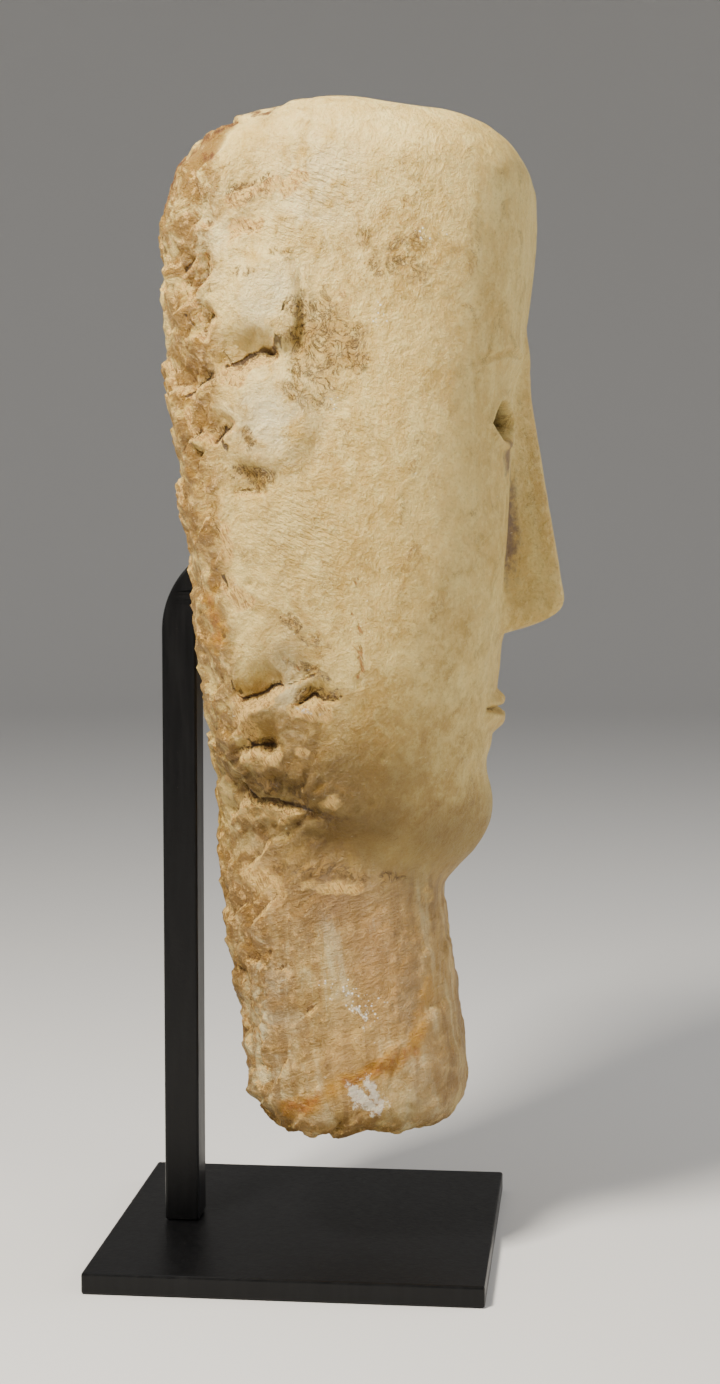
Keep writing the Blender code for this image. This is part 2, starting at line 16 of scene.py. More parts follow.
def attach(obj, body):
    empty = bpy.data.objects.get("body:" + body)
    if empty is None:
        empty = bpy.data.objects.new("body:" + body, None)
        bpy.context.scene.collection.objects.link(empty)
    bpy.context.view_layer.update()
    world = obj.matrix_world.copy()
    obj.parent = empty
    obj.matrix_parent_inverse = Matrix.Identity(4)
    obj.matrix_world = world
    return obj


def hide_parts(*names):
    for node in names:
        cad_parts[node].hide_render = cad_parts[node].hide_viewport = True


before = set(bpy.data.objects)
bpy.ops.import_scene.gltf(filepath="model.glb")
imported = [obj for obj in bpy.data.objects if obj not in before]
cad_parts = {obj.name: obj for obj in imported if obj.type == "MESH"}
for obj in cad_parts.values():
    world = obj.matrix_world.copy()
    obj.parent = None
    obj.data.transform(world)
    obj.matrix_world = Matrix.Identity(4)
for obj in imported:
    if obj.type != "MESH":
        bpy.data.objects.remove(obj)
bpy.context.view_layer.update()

# Stand
BAR_WIDTH = 0.012
BAR_DEPTH = 0.010
BEND_RADIUS = 0.021
BEND_ANGLE = math.radians(52)
BEND_IN_HEAD = 0.002
BAR_IN_HEAD = 0.016
SOCKET_GAP = 0.0004
BEND_STEPS = 40

# Head
HEAD_HEIGHT = 0.286
HEAD_BOTTOM = 0.0375
HEAD_AXIS_Y = -0.0083
SOCKET_UP = 0.547
RINGS = 620
COLUMNS = 760
HEAD_TRIANGLES = 190000

# Outlines of the head and the neck: share up, and distance from the axis as a share of the height
HEAD_BACK = ((0.20, 0.112), (0.30, 0.115), (0.39, 0.118), (0.47, 0.125), (0.565, 0.134), (0.69, 0.148),
             (0.80, 0.158), (0.90, 0.160), (1.0, 0.159))
HEAD_FRONT = ((0.20, 0.112), (0.26, 0.127), (0.30, 0.143), (0.42, 0.162), (0.55, 0.172), (0.68, 0.178),
              (0.76, 0.187), (0.90, 0.198), (1.0, 0.198))
HEAD_SIDE = ((0.20, 0.100), (0.27, 0.118), (0.33, 0.145), (0.42, 0.172), (0.55, 0.193), (0.70, 0.204),
             (0.85, 0.205), (1.0, 0.196))
NECK_BACK = ((0.0, 0.074), (0.05, 0.085), (0.10, 0.096), (0.17, 0.105), (0.24, 0.111), (0.34, 0.115))
NECK_FRONT = ((0.0, 0.132), (0.05, 0.135), (0.09, 0.132), (0.13, 0.126), (0.18, 0.118), (0.235, 0.110),
              (0.34, 0.107))
NECK_SIDE = ((0.0, 0.124), (0.10, 0.124), (0.20, 0.118), (0.34, 0.118))
FRONT_SQUARENESS = ((0.20, 2.1), (0.40, 2.3), (0.60, 2.7), (1.0, 3.0))
BACK_SQUARENESS = 3.6
NECK_SQUARENESS = 2.5
JAW_LINE = ((0.0, 0.252), (1.2, 0.285), (1.9, 0.33), (math.pi, 0.34))
JAW_BLEND = ((0.0, 0.022), (1.2, 0.028), (1.9, 0.06), (math.pi, 0.09))
# Fall of the crown, from the back to the front: place forward of the axis and drop, as shares of the height
CROWN_DROP = ((-0.155, 0.078), (-0.130, 0.046), (-0.105, 0.028), (-0.075, 0.017), (-0.045, 0.008),
              (-0.010, 0.002), (0.030, 0.0), (0.075, 0.005), (0.140, 0.013), (0.170, 0.021), (0.200, 0.030))
CROWN_SIDE_DROP = 0.30
# Rounding of the crown's and the broken end's edges: its height share, and its share of the radius
CROWN_ROUND = 0.055
CROWN_ROUND_REACH = 0.28
BOTTOM_ROUND = 0.045
BOTTOM_ROUND_REACH = 0.30
MEAN_RADIUS = 0.16
ROUND_STEPS = 60
OUTLINE_STEPS = 2001

# Where shapes blend: relief towards the crown's and the broken end's middle, as shares of the radius, the
# crown's fall as shares up, and the face and the ears as the cosine and the sine of the angle from ahead
UPRIGHT = (0.60, 0.95)
CROWN_FALL = (0.80, 1.0)
BACK_TO_FRONT = (-0.25, 0.25)
FACE_FADE = (0.0, 0.5)
EAR_FADE = (0.5, 0.9)

# Face, on the canon of thirds from chin to crown and of five eyes across, with each place up as a share
CHIN = 0.25
NOSE_BASE = 0.50
BROW = 0.75
EYE_LINE = 0.695
MOUTH = NOSE_BASE - (NOSE_BASE - CHIN) / 3
EYE_LENGTH = 0.0236
EYE_ABOVE = 0.0064
EYE_BELOW = 0.0047
EYE_CURVE = 2.2
EYE_OUTSIDE = 1.6
EYE_EDGE = 0.0016
EYE_SOCKET_DEPTH = 0.0065
LID_HEIGHT = 0.0012
LID_WIDTH = 0.0012
LID_END = 0.0040
BROW_MIDDLE = 0.0248
BROW_HALF = 0.0189
BROW_ARCH = 0.0035
BROW_HEIGHT = 0.0011
BROW_WIDTH = 0.0032
BROW_LINE_DEPTH = 0.0016
BROW_LINE_WIDTH = 0.0009
BROW_FADE = (1.1, 0.7)
# Nose: half widths of its ridge and its foot, at the root and at the base
NOSE_PROJECTION = 0.0185
NOSE_ROOT_SHARE = 0.14
NOSE_RIDGE = (0.0031, 0.0052)
NOSE_FOOT = (0.0078, 0.0123)
NOSE_FLARE = 1.5
NOSE_ROUND = 0.35
NOSE_UNDERSIDE = 0.0024
NOSE_TIP = 0.0120
NOSE_TIP_CURVE = 2.6
NOSE_ROOT_FADE = 0.0143
# Lips: how high each stands at the middle, where it starts and where it ends
MOUTH_HALF = 0.0170
MOUTH_RISE = 0.0012
UPPER_LIP = (0.0027, 0.0030, 0.0064)
LOWER_LIP = (0.0032, 0.0036, 0.0078)
LIP_TAPER = 0.0032
LIP_EDGE = 0.0017
LIP_SEAM_DEPTH = 0.0010
LIP_SEAM_WIDTH = 0.0009
LIP_SEAM_FADE = (0.0, 0.3)
# Soft humps and hollows, each with its place across and up, its width, its height and how far it stands out
FACE_HUMPS = (
    (0.0104, 0.513, 0.0038, 0.0052, 0.0030),
    (0.0295, 0.590, 0.0170, 0.0300, 0.0018),
    (0.0000, 0.300, 0.0170, 0.0130, 0.0040),
    (0.0000, 0.358, 0.0130, 0.0050, -0.0016),
    (0.0000, 0.460, 0.0022, 0.0055, -0.0005),
    (0.0236, 0.721, 0.0200, 0.0085, -0.0022),
)
# Flat lobes of the ear: place forward and up, half width, half height and how far each stands out
EAR_LOBES = (
    (-0.0104, 0.802, 0.0100, 0.0122, 0.0026),
    (-0.0108, 0.695, 0.0122, 0.0128, 0.0024),
)
EAR_EDGE = (1.28, 0.72)
EAR_CREASE = (-0.0015, 0.795)
EAR_CREASE_BEND = 0.0070
EAR_CREASE_WIDTH = 0.0011
EAR_CREASE_HEIGHT = 0.0120
EAR_CREASE_DEPTH = 0.0015

# Rough dressing of the back, with the size of one tool mark
MARK_SPACING = np.array((0.0105, 0.0105, 0.0135))
MARK_DEPTH = 0.0034
MARK_SLANT = 0.7
MARK_TILT = 0.5
MARK_STEPS = 0.55
MARK_SCATTER = 0.7
MARK_EDGE = 0.16
MARK_LEVEL = 0.35
MARK_SEED = 11
LUMP_SIZE = 0.016
LUMP_HEIGHT = 0.0012
LUMP_SEED = 3
WAVE_SIZE = 0.035
WAVE_HEIGHT = 0.0005
WAVE_SEED = 5
# Where the rough dressing starts, as the angle from straight ahead, on the right and on the left
ROUGH_START = (1.90, 1.72)
ROUGH_FADE = 0.16
# Other rough places: how rough each is, and where it fades in by the angle, the share up or forward
SIDE_ROUGH = 0.16
SIDE_TURN = (1.35, 1.75)
LOW_SIDE_ROUGH = 0.60
LOW_SIDE_TURN = (1.30, 1.65)
LOW_SIDE_UP = (0.50, 0.40)
NECK_ROUGH = 0.34
NECK_UP = (0.27, 0.20)
CROWN_ROUGH = 0.35
CROWN_UP = (0.97, 0.995)
CROWN_BACK = (0.02, -0.05)
END_UP = (0.045, 0.0)
ROUGH_REACH = (0.3, 0.8)
# Ledges on the head's right side, each from its lower back end to its front end: forward of the axis and
# share up of both ends, and depth of the cut above it
LEDGES = (
    (-0.0365, 0.833, -0.0328, 0.847, 0.0020),
    (-0.0347, 0.808, -0.0266, 0.835, 0.0028),
    (-0.0310, 0.770, -0.0248, 0.792, 0.0026),
    (-0.0347, 0.721, -0.0266, 0.738, 0.0030),
    (-0.0266, 0.678, -0.0212, 0.693, 0.0028),
    (-0.0318, 0.650, -0.0282, 0.663, 0.0022),
    (-0.0227, 0.741, -0.0092, 0.761, 0.0036),
    (-0.0204, 0.901, -0.0105, 0.916, 0.0012),
    (-0.0222, 0.860, -0.0142, 0.872, 0.0012),
    (-0.0206, 0.630, -0.0134, 0.633, 0.0018),
    (-0.0204, 0.432, -0.0084, 0.451, 0.0032),
    (-0.0084, 0.451, 0.0006, 0.463, 0.0014),
    (-0.0035, 0.430, 0.0061, 0.439, 0.0020),
    (-0.0204, 0.387, -0.0100, 0.389, 0.0030),
    (-0.0248, 0.340, -0.0051, 0.328, 0.0018),
    (-0.0240, 0.172, -0.0080, 0.174, 0.0012),
    (-0.0166, 0.057, -0.0232, 0.165, 0.0016),
)
LEDGE_CUT = 0.0105
LEDGE_SLOPE = 0.85
LEDGE_END = 0.0022
RIGHT_SIDE = 0.020

# Finer relief than the solid's: size of its features, its height and the seeds of its noise
FINE_MARK_SPACING = np.array((0.0046, 0.0046, 0.0058))
FINE_MARK_DEPTH = 0.0015
FINE_MARK_SEED = 23
WARP_SIZE = 0.0045
WARP_REACH = 0.0018
STAIN_WARP = 0.0020
WARP_SEEDS = (61, 67, 71)
CRUMB_SIZE = 0.0020
CRUMB_HEIGHT = 0.00030
CRUMB_SEEDS = (31, 37)
FINE_CRUMBS = 0.6
SWELLS = ((0.0140, 0.00046, 47), (0.0065, 0.00028, 53), (0.0032, 0.00014, 59))
SWELL_LEVEL = 0.60
RIPPLE_SIZE = np.array((0.0080, 0.0080, 0.0024))
RIPPLE_HEIGHT = 0.00016
RIPPLE_SEED = 41
NECK_RIPPLES = (0.29, 0.24)
# Hollows, painted darker as dirt and as shade in recesses, by their depth below the stone around, with the
# face's own share in it
CAVITY_STEPS = 4
CAVITY = (0.00008, 0.00055)
FACE_CAVITY = 0.35
# Scooped marks, painted darker as shade by their depth, and the darkening of the empty eyes by its share of
# theirs
SCOOPED = (0.0004, 0.0026)
SOCKET_DARKENING = (0.25, 0.85)
# Broken stone by its slope, a ledge's shelf as shares of the cut's slope, and the crevice above it
BROKEN_SLOPE = (0.50, 1.05)
SHELF_START = -0.1
SHELF_END = (-1.7, -0.8)
# The crevice's thin dark line is painted as dirt and as shade
CREVICE_CUT = (0.0006, 0.0024)
CREVICE_WIDTH = 0.0006
CREVICE_BREAKS = (-0.85, -0.05)

# Stained places on the right side: forward and share up of both ends, reach, and how strongly they show
CRUSTS = (
    (-0.001, 0.796, 0.005, 0.786, 0.006, 0.8), (0.003, 0.772, 0.011, 0.766, 0.007, 0.9),
    (-0.002, 0.758, 0.013, 0.75, 0.006, 0.8), (-0.0035, 0.742, 0.005, 0.735, 0.006, 0.75),
    (-0.004, 0.722, 0.004, 0.706, 0.006, 0.65), (0.002, 0.82, 0.007, 0.805, 0.006, 0.6),
    (0.014, 0.852, 0.034, 0.856, 0.006, 0.6), (0.018, 0.836, 0.03, 0.83, 0.007, 0.7),
    (0.01, 0.8, 0.015, 0.792, 0.004, 0.6), (0.023, 0.915, 0.0255, 0.893, 0.0034, 0.5),
    (-0.011, 0.857, -0.0061, 0.842, 0.0036, 0.6), (-0.019, 0.826, -0.015, 0.83, 0.003, 0.7),
    (-0.02, 0.905, -0.011, 0.914, 0.0034, 0.9), (-0.015, 0.893, -0.012, 0.898, 0.0028, 0.7),
    (-0.017, 0.684, -0.015, 0.673, 0.003, 0.9), (-0.019, 0.647, -0.012, 0.64, 0.0036, 0.9),
    (-0.0066, 0.512, 0.0006, 0.494, 0.0028, 0.9), (-0.003, 0.506, 0.006, 0.488, 0.002, 0.7),
    (-0.018, 0.484, -0.008, 0.47, 0.005, 0.5), (-0.006, 0.472, 0.003, 0.462, 0.0026, 0.8),
    (-0.0045, 0.44, 0.006, 0.446, 0.0024, 0.9), (-0.017, 0.391, -0.01, 0.392, 0.003, 0.8),
    (0.0, 0.384, 0.009, 0.376, 0.006, 0.5), (-0.017, 0.352, -0.004, 0.338, 0.006, 0.7),
    (-0.006, 0.33, 0.006, 0.322, 0.004, 0.7), (0.012, 0.36, 0.03, 0.352, 0.008, 0.4),
    (-0.022, 0.34, -0.012, 0.33, 0.002, 0.9), (-0.016, 0.3, 0.012, 0.292, 0.008, 0.5),
    (-0.012, 0.272, 0.012, 0.262, 0.004, 0.7), (0.0165, 0.26, 0.0215, 0.258, 0.0024, 0.8),
    (0.0333, 0.49, 0.034, 0.484, 0.0026, 0.5), (0.0224, 0.691, 0.024, 0.689, 0.0026, 0.6),
    (0.0341, 0.684, 0.035, 0.68, 0.0024, 0.5), (0.006, 0.216, 0.012, 0.2, 0.006, 0.4),
    (-0.03, 0.515, -0.023, 0.488, 0.003, 0.7), (-0.028, 0.76, -0.026, 0.73, 0.004, 0.6),
)
RAW_STONE = (
    (-0.0205, 0.868, -0.0142, 0.875, 0.0036, 1.0), (-0.019, 0.896, -0.01, 0.905, 0.0036, 1.0),
    (-0.0061, 0.9, -0.003, 0.911, 0.0034, 0.9), (-0.0225, 0.732, -0.011, 0.752, 0.003, 1.0),
    (-0.0204, 0.424, -0.011, 0.436, 0.0024, 1.0), (0.008, 0.812, 0.013, 0.795, 0.003, 0.8),
    (-0.0215, 0.6, -0.021, 0.568, 0.0036, 0.8), (-0.0225, 0.548, -0.0185, 0.53, 0.0046, 0.9),
    (-0.0209, 0.432, -0.019, 0.402, 0.0046, 1.0), (-0.0045, 0.426, 0.003, 0.423, 0.003, 1.0),
    (-0.02, 0.381, -0.011, 0.38, 0.0034, 1.0), (-0.0051, 0.388, -0.003, 0.388, 0.002, 0.8),
    (0.001, 0.337, 0.005, 0.336, 0.0026, 0.8), (-0.025, 0.33, -0.008, 0.318, 0.004, 0.7),
    (-0.022, 0.262, -0.012, 0.246, 0.006, 0.8), (-0.004, 0.252, 0.011, 0.25, 0.003, 0.8),
    (0.011, 0.54, 0.0125, 0.455, 0.002, 0.7), (0.029, 0.425, 0.032, 0.428, 0.0024, 0.6),
    (0.025, 0.25, 0.033, 0.228, 0.004, 0.6), (-0.016, 0.186, 0.006, 0.2, 0.006, 0.5),
)
RUST = (
    (-0.0285, 0.533, -0.0262, 0.492, 0.0052, 0.9), (-0.01, 0.034, -0.002, 0.04, 0.0052, 1.0),
    (-0.002, 0.042, 0.008, 0.066, 0.0046, 0.8), (0.008, 0.066, 0.019, 0.076, 0.0044, 1.0),
    (0.019, 0.076, 0.026, 0.1, 0.0048, 0.9), (0.026, 0.1, 0.03, 0.15, 0.005, 0.7),
    (0.002, 0.353, 0.0095, 0.345, 0.0034, 0.6), (0.013, 0.185, 0.014, 0.225, 0.006, 0.4),
    (0.033, 0.11, 0.035, 0.09, 0.005, 0.4),
)
CHALK = (
    (0.01, 0.136, 0.0115, 0.112, 0.0044, 0.75), (0.012, 0.148, 0.016, 0.142, 0.003, 0.7),
    (0.012, 0.056, 0.015, 0.04, 0.008, 0.95), (0.016, 0.034, 0.017, 0.026, 0.005, 0.8),
    (0.007, 0.147, 0.008, 0.144, 0.0026, 0.8), (-0.0045, 0.424, 0.003, 0.421, 0.0018, 0.8),
    (-0.001, 0.12, 0.008, 0.1, 0.008, 0.35),
)
CRYSTALS = (
    (0.0286, 0.862, 0.03, 0.862, 0.0036, 1.0), (0.017, 0.795, 0.0205, 0.788, 0.005, 1.0),
    (0.033, 0.862, 0.035, 0.862, 0.0034, 1.0), (0.006, 0.715, 0.007, 0.7, 0.0036, 1.0),
    (0.003, 0.155, 0.014, 0.13, 0.007, 1.0),
)
# Broad soft tones: forward, share up, width, height and strength
# Honey tone about the jaw: partly the stone's own colour, partly painted shade below the jaw
HONEY_AND_JAW_SHADE = ((0.008, 0.316, 0.026, 0.014, 1.0), (0.032, 0.296, 0.022, 0.014, 0.8),
         (0.006, 0.352, 0.026, 0.02, 0.95), (-0.008, 0.35, 0.018, 0.013, 0.95),
         (-0.021, 0.35, 0.009, 0.008, 0.8), (-0.008, 0.47, 0.01, 0.007, 0.4))
GOLD = ((0.01, 0.4, 0.04, 0.03, 0.7), (0.025, 0.48, 0.03, 0.04, 0.45),
        (0.023, 0.85, 0.016, 0.016, 0.9), (0.006, 0.77, 0.01, 0.012, 0.8),
        (-0.02, 0.9, 0.012, 0.01, 0.6), (-0.003, 0.5, 0.012, 0.011, 0.8),
        (-0.01, 0.425, 0.016, 0.011, 0.7), (0.015, 0.4, 0.016, 0.014, 0.6),
        (0.03, 0.34, 0.02, 0.02, 0.6), (-0.016, 0.67, 0.006, 0.01, 0.7),
        (-0.032, 0.7, 0.005, 0.05, 0.8), (-0.029, 0.52, 0.005, 0.03, 0.9),
        (0.008, 0.64, 0.006, 0.03, 0.3), (0.033, 0.5, 0.008, 0.03, 0.4))
MAUVE = ((0.004, 0.245, 0.014, 0.016, 1.0), (0.014, 0.195, 0.011, 0.018, 0.8),
         (-0.01, 0.275, 0.016, 0.006, 0.6), (0.005, 0.12, 0.004, 0.012, 0.4),
         (0.032, 0.06, 0.006, 0.016, 0.5), (-0.012, 0.012, 0.012, 0.004, 0.7))
PEACH = ((0.02, 0.15, 0.01, 0.026, 0.8), (-0.016, 0.24, 0.008, 0.012, 0.7),
         (0.032, 0.16, 0.006, 0.03, 0.6), (0.01, 0.075, 0.014, 0.012, 0.8),
         (-0.027, 0.59, 0.004, 0.016, 0.7), (-0.008, 0.02, 0.016, 0.006, 0.6))
PALE = ((-0.015, 0.12, 0.009, 0.024, 1.0), (-0.01, 0.805, 0.009, 0.011, 0.8),
        (-0.01, 0.7, 0.011, 0.011, 0.9), (0.002, 0.905, 0.013, 0.016, 0.6),
        (0.026, 0.09, 0.007, 0.026, 0.5), (-0.018, 0.3, 0.006, 0.006, 0.6),
        (-0.007, 0.447, 0.004, 0.012, 0.7), (-0.025, 0.86, 0.008, 0.012, 0.5))
RASPED = ((0.003, 0.915, 0.011, 0.011, 1.0), (-0.006, 0.87, 0.008, 0.008, 0.7),
          (-0.002, 0.59, 0.012, 0.016, 0.8), (0.01, 0.69, 0.02, 0.02, 0.3))
# Red-brown band along the crown's back edge, and thin dark cracks and painted shadow lines in creases, as
# the stained places are given
RIM = (
    (0.006, 0.996, -0.008, 0.989, 0.0018, 0.8), (-0.008, 0.989, -0.02, 0.978, 0.0022, 0.9),
    (-0.02, 0.978, -0.03, 0.956, 0.0026, 1.0), (-0.03, 0.956, -0.039, 0.932, 0.0028, 0.9),
    (-0.039, 0.932, -0.043, 0.9, 0.0028, 0.9), (-0.029, 0.938, -0.027, 0.932, 0.0026, 0.9),
)
CRACKS_AND_SHADE_LINES = (
    (-0.0225, 0.742, -0.0082, 0.765, 0.0008, 1.0), (-0.0035, 0.803, -0.0066, 0.772, 0.0005, 0.8),
    (-0.0066, 0.772, -0.0079, 0.763, 0.0006, 0.9), (-0.0157, 0.808, -0.0139, 0.794, 0.0005, 0.8),
    (-0.036, 0.812, -0.0308, 0.776, 0.0006, 0.8), (-0.0347, 0.721, -0.0266, 0.738, 0.0007, 0.9),
    (-0.032, 0.69, -0.03, 0.65, 0.0006, 0.8), (-0.025, 0.69, -0.0212, 0.672, 0.0008, 0.9),
    (-0.0204, 0.436, -0.0084, 0.45, 0.0007, 1.0), (-0.0084, 0.45, 0.0006, 0.461, 0.0006, 0.9),
    (-0.0235, 0.452, -0.0204, 0.436, 0.0006, 0.8), (-0.0035, 0.431, 0.0069, 0.438, 0.0007, 0.9),
    (-0.0066, 0.509, 0.0006, 0.494, 0.0006, 0.9), (-0.0204, 0.398, -0.019, 0.382, 0.0007, 0.9),
    (-0.019, 0.385, -0.011, 0.392, 0.0007, 0.9), (-0.0232, 0.342, -0.003, 0.328, 0.0008, 0.9),
    (-0.003, 0.328, 0.006, 0.318, 0.0006, 0.7), (0.0165, 0.296, 0.0214, 0.296, 0.0006, 0.8),
    (-0.026, 0.61, -0.022, 0.59, 0.0006, 0.8), (-0.026, 0.56, -0.0225, 0.54, 0.0006, 0.8),
)
# Rust-brown seams, as the stained places are given
SEAMS = (
    (0.0112, 0.56, 0.0118, 0.515, 0.0011, 0.9), (0.0118, 0.515, 0.0128, 0.455, 0.0011, 1.0),
    (-0.0113, 0.49, -0.0022, 0.461, 0.0009, 0.8), (0.0075, 0.6, 0.008, 0.575, 0.0008, 0.6),
    (0.03, 0.6, 0.031, 0.56, 0.0008, 0.5), (-0.004, 0.65, 0.01, 0.643, 0.0007, 0.5),
    (0.015, 0.74, 0.0153, 0.7, 0.0007, 0.5),
)
PITS = (
    (-0.0164, 0.545, 0.0011, 0.001), (-0.0136, 0.388, 0.0022, 0.0018),
    (0.0123, 0.452, 0.0012, 0.0005), (-0.0165, 0.678, 0.0014, 0.0008),
)
# Tiny pits: how many, where forward and up, how wide, and how deep as a share of that
RANDOM_PITS = 220
PIT_SEED = 7
PIT_FORWARD = (-0.03, 0.045)
PIT_UP = (0.02, 0.98)
PIT_REACH = (0.0004, 0.0010)
PIT_SLOPE = 0.45
# Patina below the eyes and along the foot of the nose, given as the broad tones are, but across
PATINA = ((0.02, 0.664, 0.01, 0.0075, 1.0), (0.0105, 0.61, 0.0034, 0.028, 1.0))
# Height that the finest grain of the stone and of the paint stands out
STONE_GRAIN = 0.0008
PAINT_GRAIN = 0.0002
# Finishes that the carved surface holds as shares from 0 to 1
PATCHES = {"crust": CRUSTS, "raw": RAW_STONE, "rust": RUST, "chalk": CHALK, "crystal": CRYSTALS,
           "seam": SEAMS}
CLOUDS = {"honey_and_jaw_shade": HONEY_AND_JAW_SHADE, "gold": GOLD, "mauve": MAUVE, "peach": PEACH, "pale": PALE}
SHARES = ("hollow", "crevice", "crack_and_shade_line", "broken", "deep_cut_shade", "rough", "rasped", "neck", "rim", "socket",
          "patina", *PATCHES, *CLOUDS)

# Camera, from the photograph
PHOTO_WIDTH = 720
PHOTO_HEIGHT = 1384
FOCAL_PIXELS = 2300
SENSOR = 0.036
CAMERA_PLACE = (-0.6557, -0.0847, 0.2103)
CAMERA_TURN = math.radians(6.012)
CAMERA_PITCH = math.radians(4.28)
CAMERA_NEAR = 0.01

# Studio: the floor's inner rings, its flat reach, its bend and its wall, the lights' aim and the sky
FLOOR_RINGS = (0.0, 0.6, 1.2)
FLOOR_FLAT = 1.9
FLOOR_BEND = 1.2
FLOOR_WALL = 3.2
FLOOR_STEPS = (24, 96)
FLOOR_TONE = (0.72, 0.71, 0.69, 1.0)
FLOOR_ROUGHNESS = 0.8
LIGHT_AIM_UP = 0.55
# Each light with its place, power, width, height and colour
LIGHTS = (
    ("key", (-0.36, 0.21, 0.67), 11.0, 0.14, 0.14, (1.0, 0.94, 0.84)),
    ("face_side", (-0.62, -1.05, 0.85), 3.6, 0.35, 0.35, (1.0, 0.96, 0.90)),
    ("front_rim", (0.35, -1.05, 0.50), 5.0, 0.40, 0.80, (1.0, 1.0, 1.0)),
    ("top", (0.2, 0.1, 1.6), 4.0, 1.4, 1.4, (1.0, 1.0, 1.0)),
)
SKY_TONE = (0.95, 0.96, 1.0, 1.0)
SKY_STRENGTH = 0.27


def tint(red, green, blue):
    """Linear colour of a tint given as it shows, from 0 to 255."""
    shown = np.array((red, green, blue)) / 255
    linear = np.where(shown > 0.04045, ((shown + 0.055) / 1.055) ** 2.4, shown / 12.92)
    return (*linear.tolist(), 1.0)


def share_between(low, high, value):
    """Smooth share from 0 at low to 1 at high."""
    share = np.clip((value - low) / (high - low), 0.0, 1.0)
    return share * share * (3.0 - 2.0 * share)


def swell(distance, reach):
    """Soft hump that is 1 at no distance and fades beyond reach."""
    return np.exp(-((distance / reach) ** 2))


def line_through(points, place):
    """Smooth line through the points, read at each place."""
    places, sizes = np.array(points).T
    slopes = np.gradient(sizes, places)
    place = np.clip(place, places[0], places[-1])
    index = np.clip(np.searchsorted(places, place) - 1, 0, len(places) - 2)
    step = places[index + 1] - places[index]
    t = (place - places[index]) / step
    start = sizes[index] * (1 + 2 * t) * (1 - t) ** 2 + slopes[index] * step * t * (1 - t) ** 2
    end = sizes[index + 1] * t * t * (3 - 2 * t) - slopes[index + 1] * step * t * t * (1 - t)
    return start + end


def chance(cells, seed):
    """Repeatable number from 0 to 1 for each whole-numbered cell."""
    mixed = cells[..., 0] * 73856093 ^ cells[..., 1] * 19349663 ^ cells[..., 2] * 83492791
    mixed = mixed ^ seed * 2654435761
    mixed = (mixed ^ (mixed >> 13)) * 1274126177 & 0xFFFFFFFF
    mixed = (mixed ^ (mixed >> 16)) * 2246822519 & 0xFFFFFFFF
    return ((mixed ^ (mixed >> 15)) & 0xFFFFFF) / float(0xFFFFFF)


def soft_noise(points, size, seed):
    """Smooth noise from -1 to 1 with features of the given size."""
    scaled = points / size
    corner = np.floor(scaled).astype(np.int64)
    part = scaled - corner
    part = part * part * (3 - 2 * part)
    total = np.zeros(points.shape[:-1])
    for offset in itertools.product((0, 1), repeat=3):
        step = np.array(offset)
        weight = np.prod(np.where(step == 1, part, 1 - part), axis=-1)
        total += weight * chance(corner + step, seed)
    return 2 * total - 1


def tool_marks(points, spacing, seed):
    """Flat, tilted marks of a point chisel, from about -1 to 0, each deeper downwards, ending at a ledge."""
    slanted = points.copy()
    slanted[..., 2] += MARK_SLANT * points[..., 1]
    scaled = slanted / spacing
    corner = np.floor(scaled).astype(np.int64)
    nearest = np.full(points.shape[:-1], np.inf)
    second = nearest.copy()
    depth = np.zeros(points.shape[:-1])
    second_depth = depth.copy()
    for offset in itertools.product((-1, 0, 1), repeat=3):
        cell = corner + np.array(offset)
        spot = np.stack([chance(cell, seed + axis) for axis in range(3)], axis=-1)
        gap = scaled - cell - (1 - MARK_SCATTER) / 2 - MARK_SCATTER * spot
        distance = np.sum(gap * gap, axis=-1)
        level = MARK_TILT * (gap[..., 2] - 0.5) + (chance(cell, seed + 4) - 0.5) * gap[..., 0]
        level -= MARK_STEPS * chance(cell, seed + 5)
        closer = distance < nearest
        between = ~closer & (distance < second)
        second = np.where(closer, nearest, np.where(between, distance, second))
        second_depth = np.where(closer, depth, np.where(between, level, second_depth))
        depth = np.where(closer, level, depth)
        nearest = np.where(closer, distance, nearest)
    edge = 0.5 * (1 - share_between(0.0, MARK_EDGE, np.sqrt(second) - np.sqrt(nearest)))
    return depth * (1 - edge) + second_depth * edge


def plan_radius(angle, back, front, side, squareness):
    """Distance from the axis of a rounded outline in plan, where angle 0 is straight ahead."""
    depth = np.where(np.abs(angle) < math.pi / 2, front, back)
    power = squareness
    sum_of_powers = (np.abs(np.cos(angle)) / depth) ** power + (np.abs(np.sin(angle)) / side) ** power
    return sum_of_powers ** (-1 / power)


def body_radius(angle, up):
    """Distance of the head's or the neck's plain surface from the axis, as a share of the height."""
    ahead = share_between(*BACK_TO_FRONT, np.cos(angle))
    squareness = BACK_SQUARENESS + ahead * (line_through(FRONT_SQUARENESS, up) - BACK_SQUARENESS)
    head = plan_radius(angle, line_through(HEAD_BACK, up), line_through(HEAD_FRONT, up),
                       line_through(HEAD_SIDE, up), squareness)
    neck = plan_radius(angle, line_through(NECK_BACK, up), line_through(NECK_FRONT, up),
                       line_through(NECK_SIDE, up), NECK_SQUARENESS)
    jaw = line_through(JAW_LINE, np.abs(angle))
    blend = line_through(JAW_BLEND, np.abs(angle))
    return neck + share_between(jaw - blend, jaw + blend, up) * (head - neck)


